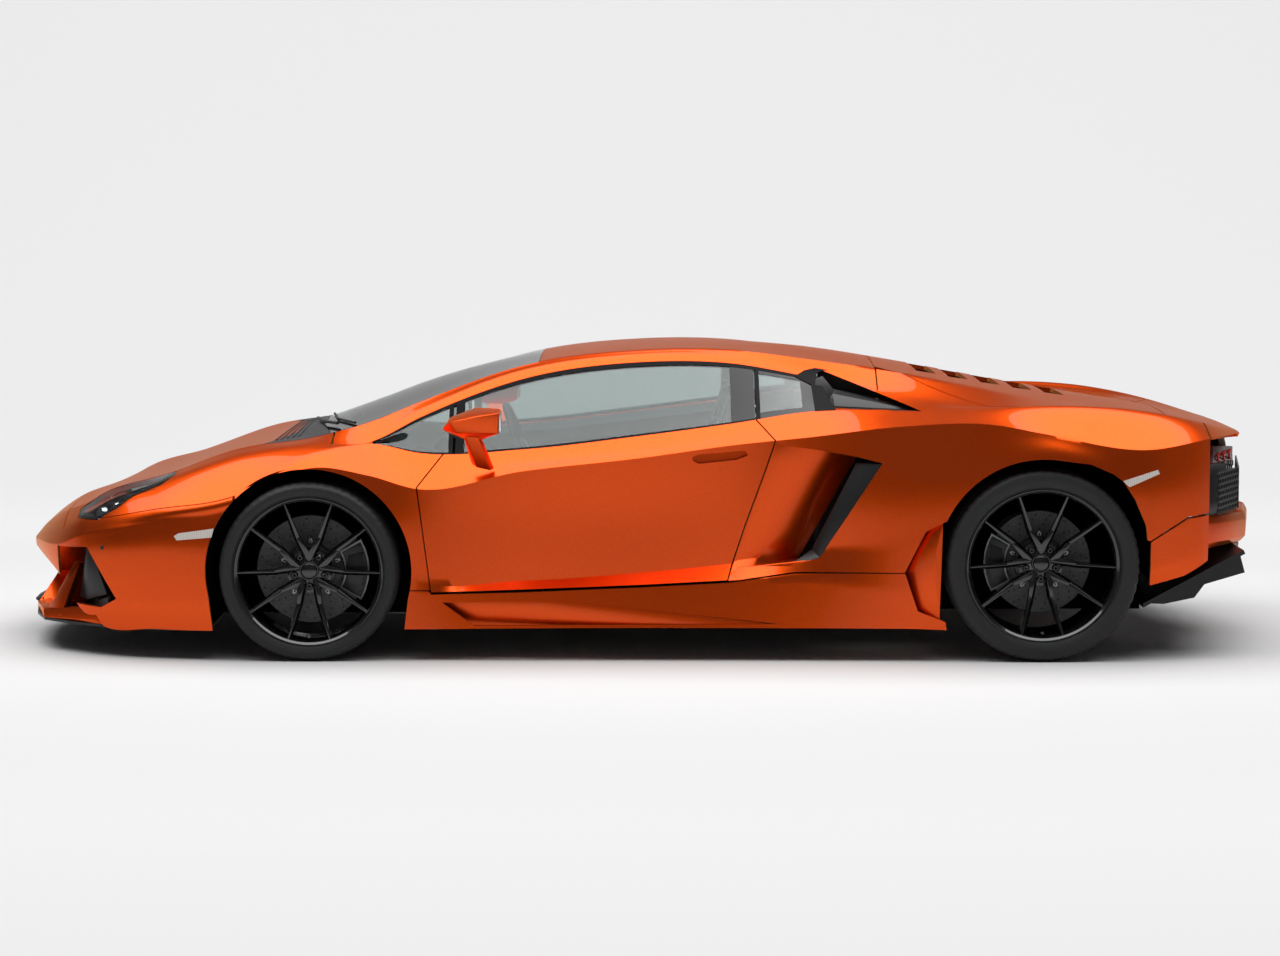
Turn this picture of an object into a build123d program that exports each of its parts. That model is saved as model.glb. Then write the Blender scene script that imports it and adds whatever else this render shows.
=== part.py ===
# Mid-engined two-seat supercar with scissor doors, at full size, in millimetres.
# +X is forwards, +Y is the car's left, +Z is up. The origin is on the floor, midway along and across the car.
#
# The body is one surface. It is drawn by nine lines that run from nose to tail, and a panel is a thick piece
# of that surface between two of those lines and two cuts. Panels are faceted, and wheels are turned.
from build123d import *
import os
from itertools import combinations
from math import atan2, cos, hypot, radians, sin

# ---------------------------------------------------------------- driving dimensions
overall_length = 4780.0
wheelbase = 2700.0
front_overhang = 1160.0
nose_x = overall_length / 2
tail_x = -overall_length / 2
front_axle_x = nose_x - front_overhang
rear_axle_x = front_axle_x - wheelbase

front_track = 1700.0
rear_track = 1676.0
front_tyre_radius = 330.5
front_tyre_width = 255.0
rear_tyre_radius = 355.5
rear_tyre_width = 335.0
front_rim_radius = 277.0
rear_rim_radius = 284.0

front_arch_radius = 379.0
rear_arch_radius = 393.0
door_pivot = (935.0, 850.0, 700.0)      # the left door swings about a leaning axis through this point
door_axis = (-0.10, 1.0, -0.35)         # it leans out and forwards, so the door swings up and outwards
kingpin_y = 785.0           # the steering axis stands here, upright through the front hub
running_gap = 6.0           # between a brake disc and what straddles it, and round the steering column
wheel_sides = 36            # flats round a wheel: a multiple of four, so one always lies on the floor

shut_gap = 5.0              # between a moving panel and its neighbours
seam_gap = 3.0              # between two fixed panels
skin_thickness = 22.0
door_thickness = 85.0
glass_thickness = 6.0

# ---------------------------------------------------------------- the body surface
# One row for each station: x, then the spine's z, then y and z of each line out from the spine.
# rail: bonnet edge, windscreen edge, roof crease, buttress crest.   drip: wing top, top of the side glass.
# belt: bumper joint, foot of the side glass, rear haunch.           shoulder: the crease along the side.
# waist: widest or most tucked-in line.   hem: where the door turns out again.
# sill: foot of the door.                 skirt: lower edge of the body.
LINES = ("spine", "rail", "drip", "belt", "shoulder", "waist", "hem", "sill", "skirt")
SECTIONS = (
    # x      spine   rail        drip        belt        shoulder    waist       hem         sill        skirt
    (2388,   372,    12, 371,    20, 370,    28, 368,    34, 364,    32, 352,    28, 345,    24, 338,    18, 333),
    (2330,   434,   130, 428,   180, 418,   225, 403,   262, 378,   250, 350,   235, 335,   222, 325,   205, 318),
    (2200,   532,   430, 508,   510, 482,   575, 448,   622, 402,   612, 350,   600, 312,   588, 282,   570, 268),
    (2105,   565,   560, 548,   640, 525,   715, 496,   765, 448,   768, 385,   762, 310,   752, 235,   735, 170),
    (2020,   593,   610, 597,   700, 566,   793, 514,   840, 470,   848, 400,   842, 310,   830, 205,   808, 118),
    (1800,   660,   640, 662,   762, 638,   900, 558,   925, 510,   935, 425,   930, 320,   922, 215,   905, 113),
    (1500,   752,   660, 765,   800, 728,   955, 612,   968, 560,   980, 440,   978, 330,   972, 225,   958, 112),
    (1230,   838,   690, 808,   810, 788,   905, 752,   960, 712,   984, 560,   984, 400,   978, 255,   964, 116),
    (1010,   917,   655, 866,   762, 797,   768, 788,   950, 686,   972, 540,   970, 400,   962, 250,   958, 117),
    (829,    984,   612, 938,   704, 884,   802, 757,   950, 636,   953, 500,   950, 300,   952, 253,   956, 118),
    (450,    1082,  540, 1068,  620, 1022,  830, 772,   938, 699,   918, 520,   905, 292,   950, 265,   962, 122),
    (10,     1132,  512, 1124,  576, 1083,  826, 822,   928, 748,   900, 540,   888, 320,   948, 282,   966, 124),
    (-330,   1135,  490, 1124,  560, 1078,  815, 867,   926, 795,   904, 560,   890, 354,   952, 299,   970, 124),
    (-620,   1116,  492, 1090,  556, 1028,  792, 910,   935, 826,   940, 590,   930, 400,   965, 310,   976, 124),
    (-960,   1064,  500, 1040,  640, 968,   790, 915,   950, 866,   985, 640,   988, 430,   988, 260,   984, 123),
    (-1290,  1003,  515, 978,   742, 921,   810, 923,   962, 872,   1008, 690,  1012, 480,  1006, 260,  994, 122),
    (-1470,  971,   520, 945,   752, 922,   826, 928,   972, 840,   1015, 730,  1014, 500,  1010, 290,  1000, 150),
    (-1860,  905,   505, 886,   700, 892,   800, 906,   978, 782,   992, 640,   988, 470,   980, 330,   965, 280),
    (-2092,  860,   470, 850,   640, 858,   740, 862,   903, 818,   903, 660,   898, 545,   890, 420,   880, 330),
    (-2270,  818,   300, 816,   400, 815,   450, 813,   486, 809,   484, 700,   480, 600,   476, 500,   470, 420),
)
CREASED = {"rail", "shoulder", "hem", "sill", "skirt"}   # the surface turns sharply on these, softly on the rest


def slope(u, values, i):
    """Slope of a smooth curve through values at its i-th point."""
    if i == 0 or i == len(u) - 1:
        a, b = (0, 1) if i == 0 else (-2, -1)
        return (values[b] - values[a]) / (u[b] - u[a])
    before = (values[i] - values[i - 1]) / (u[i] - u[i - 1])
    after = (values[i + 1] - values[i]) / (u[i + 1] - u[i])
    share = (u[i] - u[i - 1]) / (u[i + 1] - u[i - 1])
    return before * (1 - share) + after * share


def hermite(t, length, p0, p1, m0, m1):
    """Point at share t of a cubic that leaves p0 at slope m0 and reaches p1 at slope m1."""
    return (
        p0 * (2 * t**3 - 3 * t**2 + 1)
        + m0 * length * (t**3 - 2 * t**2 + t)
        + p1 * (3 * t**2 - 2 * t**3)
        + m1 * length * (t**3 - t**2)
    )


STATION_X = [-row[0] for row in SECTIONS]   # rising from nose to tail, for the search below
STATIONS_FRONT = SECTIONS[0][0]
STATIONS_REAR = SECTIONS[-1][0]
LAST_LINE = len(LINES) - 1.0


def section_at(x):
    """(y, z) of each line where a plane at x cuts it."""
    u = min(max(-x, STATION_X[0]), STATION_X[-1])
    i = max(k for k in range(len(STATION_X) - 1) if STATION_X[k] <= u)
    length = STATION_X[i + 1] - STATION_X[i]
    t = (u - STATION_X[i]) / length
    found = []
    for column in range(1, len(SECTIONS[0])):
        values = [row[column] for row in SECTIONS]
        m0, m1 = slope(STATION_X, values, i), slope(STATION_X, values, i + 1)
        found.append(hermite(t, length, values[i], values[i + 1], m0, m1))
    return [(0.0, found[0])] + list(zip(found[1::2], found[2::2]))


def surface(x, v):
    """Point of the body surface at x, v lines out from the spine: 2.5 is halfway from drip to belt."""
    if v < 0:
        mirrored = surface(x, -v)
        return Vector(mirrored.X, -mirrored.Y, mirrored.Z)
    points = section_at(x)
    j = min(int(v), len(LINES) - 2)
    t = v - j
    u = list(range(len(LINES)))
    result = []
    for axis in (0, 1):
        values = [p[axis] for p in points]
        chord = values[j + 1] - values[j]
        start = slope(u, values, j) if j else chord * (axis == 0)
        m0 = chord if LINES[j] in CREASED else start
        m1 = chord if LINES[j + 1] in CREASED else slope(u, values, j + 1)
        result.append(hermite(t, 1.0, values[j], values[j + 1], m0, m1))
    return Vector(x, result[0], result[1])


def outward(x, v):
    """Outward direction of the surface, taken across a short reach so that panels side by side agree."""
    reach_x, reach_v = 15.0, 0.12
    along = surface(min(x + reach_x, STATIONS_FRONT), v) - surface(max(x - reach_x, STATIONS_REAR), v)
    across = surface(x, min(v + reach_v, LAST_LINE)) - surface(x, max(v - reach_v, -LAST_LINE))
    return across.cross(along).normalized() * -1


# ---------------------------------------------------------------- ways of making solids
def steps(start, end, count):
    """count + 1 values spaced evenly from start to end."""
    return [start + (end - start) * k / count for k in range(count + 1)]


def flat_faced(loops):
    """Solid closed by flat faces, each a loop of points."""
    solid = Solid(Shell([Face(Wire.make_polygon(loop)) for loop in loops]))
    return solid if solid.volume > 0 else Solid(Shell([-face for face in solid.faces()]))


def skin(xs, vs, thickness=None, sunk=0.0, keep=None):
    """Piece of the body surface over stations xs, front to rear, and lines vs, as thick as thickness."""
    thickness = skin_thickness if thickness is None else thickness
    outer, inner = {}, {}
    for i, x in enumerate(xs):
        for j, v in enumerate(vs):
            away = outward(x, v)
            outer[i, j] = surface(x, v) - away * sunk
            inner[i, j] = surface(x, v) - away * (sunk + thickness)
    cells = {
        (i, j)
        for i in range(len(xs) - 1)
        for j in range(len(vs) - 1)
        if keep is None or keep((xs[i] + xs[i + 1]) / 2, (vs[j] + vs[j + 1]) / 2)
    }
    loops = []
    for i, j in sorted(cells):
        a, b, c, d = (i, j), (i + 1, j), (i + 1, j + 1), (i, j + 1)
        p, q, r, s = (a, b, c, d) if vs[j] >= 0 else (b, c, d, a)
        loops += [[outer[p], outer[q], outer[r]], [outer[p], outer[r], outer[s]]]
        loops += [[inner[p], inner[r], inner[q]], [inner[p], inner[s], inner[r]]]
        beside = ((a, b, (i, j - 1)), (b, c, (i + 1, j)), (c, d, (i, j + 1)), (d, a, (i - 1, j)))
        for p, q, neighbour in beside:
            if neighbour not in cells:
                loops += [[outer[q], outer[p], inner[p]], [outer[q], inner[p], inner[q]]]
    return flat_faced(loops)


def hull(*corners):
    """Convex solid with the given corners."""
    points = [Vector(*corner) for corner in corners]
    seen, loops = set(), []
    for a, b, c in combinations(points, 3):
        normal = (b - a).cross(c - a)
        if normal.length < 1e-6:
            continue
        normal = normal.normalized()
        heights = [normal.dot(p - a) for p in points]
        if max(heights) > 1e-3 and min(heights) < -1e-3:
            continue
        level = frozenset(k for k, height in enumerate(heights) if abs(height) <= 1e-3)
        if level in seen:
            continue
        seen.add(level)
        centre = sum((points[k] for k in level), Vector(0, 0, 0)) * (1 / len(level))
        right = (points[min(level)] - centre).normalized()
        up = normal.cross(right)
        turn = {k: atan2((points[k] - centre).dot(up), (points[k] - centre).dot(right)) for k in level}
        loops.append([points[k] for k in sorted(level, key=turn.get)])
    return flat_faced(loops)


def box(x0, x1, y0, y1, z0, z1):
    """Box between two corners."""
    return Pos((x0 + x1) / 2, (y0 + y1) / 2, (z0 + z1) / 2) * Box(x1 - x0, y1 - y0, z1 - z0)


def side_prism(outline, y0, y1):
    """Solid with an outline of (x, z) seen from the side, from y0 to y1."""
    face = Face(Wire.make_polygon([(x, y0, z) for x, z in outline]))
    return extrude(face, y1 - y0, dir=(0, 1, 0))


def plan_prism(outline, z0, z1):
    """Solid with an outline of (x, y) seen from above, from z0 to z1."""
    face = Face(Wire.make_polygon([(x, y, z0) for x, y in outline]))
    return extrude(face, z1 - z0, dir=(0, 0, 1))


def grown(outline, margin):
    """Outline moved outwards by margin on every edge, or inwards where margin is negative."""
    turning = sum(
        x0 * z1 - x1 * z0 for (x0, z0), (x1, z1) in zip(outline, outline[1:] + outline[:1])
    )
    side = margin if turning > 0 else -margin
    result = []
    for before, here, after in zip(outline[-1:] + outline[:-1], outline, outline[1:] + outline[:1]):
        ax, az = here[0] - before[0], here[1] - before[1]
        bx, bz = after[0] - here[0], after[1] - here[1]
        an, bn = hypot(ax, az), hypot(bx, bz)
        nx, nz = az / an + bz / bn, -ax / an - bx / bn
        scale = side / (1 + (ax * bx + az * bz) / (an * bn))
        result.append((here[0] + nx * scale, here[1] + nz * scale))
    return result


def disc_y(radius, y0, y1, x=0.0, z=0.0, sides=24):
    """Disc that lies along Y, as a prism of many sides."""
    angles = [radians(360 * (k + 0.5) / sides) for k in range(sides)]
    return side_prism([(x + radius * cos(a), z + radius * sin(a)) for a in angles], y0, y1)


def turned(profile, sides=wheel_sides, facing=None, span=360.0):
    """Ring turned about Y from a closed profile of (radius, y), with flats that touch the true circle.

    A part of a ring spans some degrees about the direction facing.
    """
    grow = 1 / cos(radians(span / sides / 2))
    first = -90 + span / sides / 2 if facing is None else facing - span / 2
    rings = []
    for k in range(sides + (span < 360)):
        a = radians(first + span * k / sides)
        rings.append([(r * grow * cos(a), y, r * grow * sin(a)) for r, y in profile])
    loops = [] if span == 360 else [rings[0][::-1], rings[-1]]
    for k in range(sides):
        near, far = rings[k], rings[(k + 1) % len(rings)]
        for i in range(len(profile)):
            loops.append([near[i - 1], near[i], far[i], far[i - 1]])
    return flat_faced(loops)


def largest(shape):
    """The one solid that matters where a cut leaves crumbs."""
    return max(shape.solids(), key=lambda solid: solid.volume)


def mirrored(solid):
    """The same piece on the other side of the car."""
    return mirror(solid, about=Plane.XZ)


def pieces(*shapes):
    """All solids of some shapes, as a list."""
    return [solid for shape in shapes for solid in shape.solids()]


def both(*shapes):
    """A left piece and its right twin, as a list of solids."""
    return pieces(*shapes, *[mirrored(shape) for shape in shapes])




# ---------------------------------------------------------------- openings and shut lines, as (x, z) from the side
DOOR_OUTLINE = [
    (699, 800), (829, 640), (804, 448), (779, 252), (452, 263), (10, 281), (-310, 299),
    (-376, 501), (-449, 704), (-485, 811), (-412, 885), (-412, 960), (699, 960),
]
HEADLAMP_OUTLINE = [(2120, 528), (2072, 562), (2005, 625), (1750, 690), (1752, 668), (1800, 636), (1900, 595),
                    (1955, 555), (2030, 508), (2120, 505)]
FRONT_INTAKE_OUTLINE = [(2210, 392), (2066, 408), (1950, 221), (2014, 184), (2210, 190)]
SIDE_INTAKE_OUTLINE = [(-489, 800), (-755, 762), (-879, 731), (-650, 380), (-537, 350), (-339, 344), (-388, 500)]
VENT_OUTLINE = [(-650, 1040), (-676, 1050), (-1035, 912), (-712, 920)]
MAIN_GLASS_X = (694, -418)           # front and rear edges of the door's glass
QUARTER_GLASS_X = (-426, -640)
BONNET_REAR_PLAN = [(1330, 0), (1330, 330), (1420, 640), (1420, 800)]     # as (x, y) from above
SCREEN_FOOT_PLAN = [(1230, 0), (1220, 350), (1174, 640), (1174, 760)]
SPOILER_PLAN = [(-2012, 0), (-2012, 500), (-2095, 720), (-2095, 960), (-2400, 960), (-2400, 0)]
LID_PLAN = [(-885, 0), (-885, 410), (-960, 480), (-1294, 722), (-1500, 722), (-1828, 640), (-2005, 560), (-2005, 0)]
BUMPER_END_X = 1500                  # the bumper's upper seam meets the wheel arch here

# Panels that meet share these stations, so that their facets meet too.
NOSE_STATIONS = [2240, 2150, 2065, 1950, 1800, 1650, BUMPER_END_X]
WING_STATIONS = [2065, 1950, 1800, 1650, BUMPER_END_X, 1400, 1300, 1230, 1158, 1005, 915, 830, 708]
SCREEN_STATIONS = [1150, 960, 770, 580, 390]
CABIN_STATIONS = [390, 200, 10, -160, -330, -400, -520, -640, -760, -880]
TAIL_STATIONS = [-880, -1000, -1172, -1344, -1516, -1688, -1860, -1980, -2088]

front_axle = (front_axle_x, front_tyre_radius)
rear_axle = (rear_axle_x, rear_tyre_radius)


def arch_cut(axle, radius, foot):
    """Opening for a wheel: a circle about the axle, and straight edges from there to the foot."""
    x, z = axle
    return disc_y(radius, 500, 1100, x, z, sides=wheel_sides) + side_prism(foot, 500, 1100)


front_arch = arch_cut(front_axle, front_arch_radius, [
    (front_axle_x + 378, 330), (front_axle_x + 350, 60), (front_axle_x - 345, 60), (front_axle_x - 378, 330)])
rear_arch = arch_cut(rear_axle, rear_arch_radius, [
    (rear_axle_x + 392, 355), (rear_axle_x + 345, 60), (rear_axle_x - 370, 60), (rear_axle_x - 392, 355),
    (rear_axle_x - 374, 504), (rear_axle_x - 331, 601), (rear_axle_x - 287, 668), (rear_axle_x - 249, 695),
    (rear_axle_x - 168, 730), (rear_axle_x - 30, 748)])


def beyond(line, shift, x_far):
    """Region in plan between a line across the car, shifted along X, and x_far, on both sides."""
    half = [(x + shift, y) for x, y in line] + [(x_far, line[-1][1]), (x_far, 0)]
    prism = plan_prism(half, 300, 1300)
    return prism + mirrored(prism)


def seam(xs, v):
    """Narrow room along line v, square to the surface, so that the panels on either side of it stay apart."""
    return skin(xs, [v - 0.03, v + 0.045], thickness=2 * skin_thickness, sunk=-6.0)


# ---------------------------------------------------------------- nose
BONNET_LINES = [-0.99, -0.5, 0, 0.5, 0.99]


def bonnet():
    """Front lid: its rear edge sweeps forwards towards the corners."""
    return skin(steps(2185, 1325, 6), BONNET_LINES) - beyond(BONNET_REAR_PLAN, 0, 1000)


def front_bumper():
    """Beak, cheeks round the air intakes, lip and the keel between the intakes, moulded in one."""
    beak = hull(*{
        (p.X, s * p.Y, p.Z)
        for p in [surface(x, v) for x in (2388, 2320, 2192) for v in (0, 1, 3, 4, 5, 8)] + [surface(2388, 0)]
        for s in (1, -1)})
    cheek = skin(NOSE_STATIONS, [3, 3.5, 4, 5, 6, 7, 8])
    cheek -= side_prism(FRONT_INTAKE_OUTLINE, 500, 1100)
    cheek -= side_prism(grown(HEADLAMP_OUTLINE, seam_gap), 500, 1100)
    cheek -= front_arch
    cheek -= seam(NOSE_STATIONS[2:], 3)
    cheek -= box(BUMPER_END_X - 30, BUMPER_END_X + 6, 500, 1100, 300, 900)
    lip = plan_prism([
        (1615, 0), (1615, 945), (1800, 908), (2020, 815), (2264, 600), (2345, 250), (2364, 0),
    ], 109, 140)
    keel_top = hull(
        (2325, 150, 345), (2192, 150, 345), (2285, 85, 238), (2192, 85, 238),
        (2325, -150, 345), (2192, -150, 345), (2285, -85, 238), (2192, -85, 238))
    keel_foot = hull(
        (2285, 85, 238), (2192, 85, 238), (2345, 230, 138), (2192, 230, 138),
        (2285, -85, 238), (2192, -85, 238), (2345, -230, 138), (2192, -230, 138))
    strut = hull(
        (2180, 560, 300), (2120, 570, 300), (2180, 580, 300), (2120, 590, 300),
        (2255, 585, 138), (2180, 600, 138), (2255, 605, 138), (2180, 620, 138))
    return beak + cheek + mirrored(cheek) + lip + mirrored(lip) + keel_top + keel_foot + strut + mirrored(strut)


def wing():
    """Left front wing, from the bonnet's edge down to the bumper's seam and the sill."""
    upper = skin(
        WING_STATIONS, [1.01, 1.5, 2, 2.5, 3, 3.5, 4, 4.5, 5, 6, 7, 8],
        keep=lambda x, v: (v < 2 and x > 1158) or (2 < v < 3 and x > 1005) or (v > 3 and x < BUMPER_END_X))
    upper -= side_prism(grown(HEADLAMP_OUTLINE, seam_gap), 500, 1100)
    upper -= side_prism(grown(DOOR_OUTLINE, shut_gap), 500, 1100)
    upper -= box(690, 826, 500, 1100, 60, 600)
    return upper - front_arch


def headlamp():
    """Left headlamp: a swept wedge between bonnet and wing."""
    block = skin(steps(2120, 1745, 5), [1.015, 1.5, 2, 2.5, 3], thickness=45)
    return block & side_prism(HEADLAMP_OUTLINE, 400, 1000)


def cowl():
    """Panel between the bonnet's rear edge and the foot of the windscreen."""
    panel = skin(steps(1425, 1170, 3), BONNET_LINES, thickness=12)
    return panel - beyond(BONNET_REAR_PLAN, -shut_gap - 1, 1800) - beyond(SCREEN_FOOT_PLAN, 0, 900)


def windscreen():
    """One large pane from the cowl to the roof."""
    pane = skin([1235] + SCREEN_STATIONS, [-1, -0.5, 0, 0.5, 1], thickness=glass_thickness)
    return pane - beyond(SCREEN_FOOT_PLAN, -seam_gap, 1800)


# ---------------------------------------------------------------- cabin
def roof():
    """Roof panel with both windscreen pillars."""
    xs = SCREEN_STATIONS + CABIN_STATIONS[1:]
    return skin(xs, [-2, -1.5, -1, -0.5, 0, 0.5, 1, 1.5, 2], keep=lambda x, v: abs(v) > 1 or x < 390) - both_sides(VENT_OUTLINE)


def both_sides(outline):
    """Room behind an outline seen from the side, on the left and on the right."""
    cut = side_prism(outline, 440, 1100)
    return cut + mirrored(cut)


def door_panel():
    """Left door below its glass, as thick as the whole door."""
    panel = skin(steps(835, -495, 8), [3, 3.5, 4, 4.5, 5, 5.5, 6, 6.5, 7], thickness=door_thickness)
    panel = panel & side_prism(DOOR_OUTLINE, 600, 1100)
    for here, there in (((835, 635), (690, 753)), ((-490, 800), (-401, 890))):
        panel -= slanted_shut(here, there)
    return largest(panel)


def swing_direction(point):
    """Way a point of the left door moves as the door starts to open."""
    reach = point - Vector(*door_pivot)
    return Vector(*door_axis).cross(reach).normalized()


def slanted_shut(here, there):
    """Room for the body above two slanted shut lines: the door's edge recedes along the way it swings."""
    corners = []
    for x, z in (here, there):
        edge = surface(x, line_number(x, z)) + Vector(0, 4, 0)
        way = swing_direction(edge)
        inner = edge - way * (150 / way.Y)
        for point in (edge, inner):
            corners += [tuple(point), (point.X, point.Y, point.Z + 500)]
    return hull(*corners)


def door_glass():
    """Left side glass, carried by the door."""
    return skin(steps(MAIN_GLASS_X[0], MAIN_GLASS_X[1], 6), [2.09, 2.5, 3], thickness=glass_thickness, sunk=3.0)


def fixed_glass():
    """Left quarter glass ahead of the door's glass, and the darker one behind it, clear of the door below them."""
    lines = [2.06, 2.5, 3]
    front = skin([1005, 915, 830, MAIN_GLASS_X[0] + 14], lines, thickness=glass_thickness, sunk=3.0)
    rear = skin([QUARTER_GLASS_X[0], -520, QUARTER_GLASS_X[1]], lines, thickness=glass_thickness, sunk=3.0)
    return front, rear - side_prism(grown(VENT_OUTLINE, seam_gap), 500, 1100)


# ---------------------------------------------------------------- rear body
def quarter():
    """Left rear quarter: haunch, side intake with its ramp, wheel arch and the corner at the tail."""
    xs = [-400, -520, -640, -760] + TAIL_STATIONS
    panel = skin(xs, [1, 1.5, 2, 2.5, 3, 3.5, 4, 4.5, 5, 6, 7, 8],
                 keep=lambda x, v: v > 3 or (v > 2 and x < -640) or x < -880)
    panel -= side_prism(grown(DOOR_OUTLINE, shut_gap), 500, 1100)
    panel -= side_prism(SIDE_INTAKE_OUTLINE, 700, 1100)
    panel -= side_prism(VENT_OUTLINE, 400, 1100)
    panel -= seam([-600, -640, -760, -884], 2)
    panel -= box(-881 - seam_gap, -855, 0, 700, 900, 1200)
    panel -= side_prism([(-1840, 452), (-1862, 447), (-2000, 536), (-2100, 545), (-2100, 60), (-1840, 60)], 500, 1100)
    panel -= plan_prism(grown(LID_PLAN, shut_gap), 700, 1200)
    panel -= plan_prism(grown(SPOILER_PLAN, shut_gap), 600, 1200)
    panel -= rear_arch
    sill_seam = side_prism([(900, 258), (452, 259), (10, 277), (-318, 295), (-560, 330), (-1160, 330), (-1160, 60),
                            (900, 60)], 700, 1100)
    return panel - sill_seam + intake_ramp()


def intake_ramp():
    """Wall that leads the air inwards from behind the door to the side intake."""
    front = [(-345, 335), (-392, 500), (-491, 812)]
    rear = [(-560, 368), (-640, 500), (-790, 740)]
    loops = []
    for (xf, zf), (xr, zr) in zip(front, rear):
        vf = line_number(xf, zf)
        start = surface(xf, vf)
        loops += [(xf, start.Y - 3, zf), (xf, start.Y - 21, zf), (xr, 800, zr), (xr, 782, zr)]
    return hull(*loops[:8]) + hull(*loops[4:])


def line_number(x, z):
    """Line number where the side of the surface is at height z."""
    low, high = 2.5, LAST_LINE
    for _ in range(30):
        middle = (low + high) / 2
        low, high = (middle, high) if surface(x, middle).Z > z else (low, middle)
    return low


def intake_blade():
    """Black blade that closes the rear of the left side intake."""
    corners = []
    for (x, z), (xi, zi) in zip([(-874, 728), (-652, 386), (-540, 356)], [(-785, 732), (-625, 412), (-541, 362)]):
        outer = surface(x, line_number(x, z)).Y
        corners += [(x, outer - 1, z), (x, outer - 40, z), (xi, outer - 12, zi), (xi, outer - 45, zi)]
    return hull(*corners[:8])


def sill():
    """Left sill under the door, from the front arch to the rear one."""
    panel = skin(steps(905, -1130, 7), [5, 6, 7, 7.25, 7.5, 7.75, 8])
    below = side_prism([(826, 245), (452, 253), (10, 271), (-318, 289), (-560, 324), (-1160, 327), (-1160, 60),
                        (826, 60)], 700, 1100)
    return (panel & below) - front_arch - rear_arch


def vent():
    """Black duct behind the left side window."""
    plate = skin(steps(-640, -1045, 4), [2, 2.5, 3], thickness=10, sunk=30)
    return plate & side_prism(VENT_OUTLINE, 400, 1000)


def engine_cover():
    """Lid over the engine bay."""
    panel = skin(steps(-880, -2010, 7), [-2, -1.5, -1, -0.5, 0, 0.5, 1, 1.5, 2], thickness=16)
    half = plan_prism(LID_PLAN, 700, 1200)
    return panel & (half + mirrored(half))


def tail_spoiler():
    """Movable trailing edge of the deck."""
    panel = skin([-2010, -2092, -2180, -2268], [-4, -3, -2, -1, 0, 1, 2, 3, 4], thickness=16)
    tip = hull(*[(p.X, s * p.Y, p.Z - h) for p in (surface(-2268, 0), surface(-2268, 3.9)) for s in (1, -1)
                 for h in (0.5, 16)], (-2336, 0, 790), (-2336, 0, 778))
    half = plan_prism(SPOILER_PLAN, 700, 1000)
    return (panel + tip) & (half + mirrored(half))


def tail_panel():
    """Dark V-shaped wall across the tail that carries the lamps and meshes."""
    corners = [(-2078, 870), (-2200, 590), (-2290, 0)]
    shapes = []
    for (x0, y0), (x1, y1) in zip(corners, corners[1:]):
        shapes.append(hull(*[(x + d, y, z) for x, y in ((x0, y0), (x1, y1)) for d in (0, 24) for z in (470, 770)]))
    half = shapes[0] + shapes[1]
    return half + mirrored(half)


def tail_lamp():
    """Left tail lamp: a wedge that wraps from the corner towards the middle."""
    return hull(
        (-2081, 872, 716), (-2104, 874, 724), (-2081, 872, 790), (-2104, 874, 790),
        (-2203, 592, 700), (-2226, 594, 712), (-2203, 592, 765), (-2226, 594, 770))


def rear_bumper():
    """Painted bar across the tail, with its ends behind the rear wheels."""
    side = skin([-1855, -1980, -2085], [4.5, 5, 5.5, 6, 7, 8])
    side &= side_prism([(-1864, 441), (-2000, 528), (-2100, 537), (-2100, 372), (-1990, 316), (-1864, 280)], 500, 1100)
    side -= rear_arch
    upper = [(-2085, 900, 528, 405), (-2290, 520, 510, 400), (-2388, 0, 500, 415)]
    segments = []
    for (x0, y0, t0, b0), (x1, y1, t1, b1) in zip(upper, upper[1:]):
        segments.append(hull(*[
            (x + d, y, z) for x, y, top, foot in ((x0, y0, t0, b0), (x1, y1, t1, b1))
            for d, z in ((0, top - 25), (0, foot + 20), (14, top), (20, foot), (75, top), (75, foot))]))
    half = side + segments[0] + segments[1]
    return half + mirrored(half)


def diffuser():
    """Upswept floor under the tail with upright fins."""
    floor = side_prism([(-1868, 176), (-1868, 192), (-2240, 392), (-2246, 378)], -780, 780)
    fin = [(-1875, 184), (-1957, 181), (-2070, 205), (-2107, 255), (-2258, 300), (-2235, 384)]
    fins = [side_prism(fin, y - 7, y + 7) for y in (-700, -430, -190, 190, 430, 700)]
    for shape in fins:
        floor = floor + shape
    return floor - exhaust_shape(4)


def exhaust_shape(margin):
    """Outline solid of the hexagonal outlet in the middle of the tail, grown by margin."""
    hexagon = [(-150, 352), (-105, 402), (105, 402), (150, 352), (105, 302), (-105, 302)]
    grown_hexagon = grown(hexagon, margin)
    face = Face(Wire.make_polygon([(-2330, y, z) for y, z in grown_hexagon]))
    return extrude(face, 330, dir=(1, 0, 0))


def exhaust():
    """Single outlet, open at the rear."""
    hexagon = [(-150, 352), (-105, 402), (105, 402), (150, 352), (105, 302), (-105, 302)]
    hollow = Face(Wire.make_polygon([(-2331, y, z) for y, z in grown(hexagon, -6)]))
    return exhaust_shape(0) - extrude(hollow, 300, dir=(1, 0, 0))


# ---------------------------------------------------------------- structure under the skin
def section_plate(x0, x1, inset=8.0, foot=126.0, skip=0):
    """Bulkhead from x1 to x0 that fills the body's section there, up to just inside its surface."""
    x = (x0 + x1) / 2
    half = []
    for v in range(skip, len(LINES)):
        point, away = surface(x, v), outward(x, v)
        half.append((point.Y - away.Y * inset, max(point.Z - away.Z * inset, foot)))
    outline = [(-y, z) for y, z in reversed(half) if y > 1] + half
    face = Face(Wire.make_polygon([(x0, y, z) for y, z in outline]))
    return extrude(face, x1 - x0, dir=(1, 0, 0))


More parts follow.
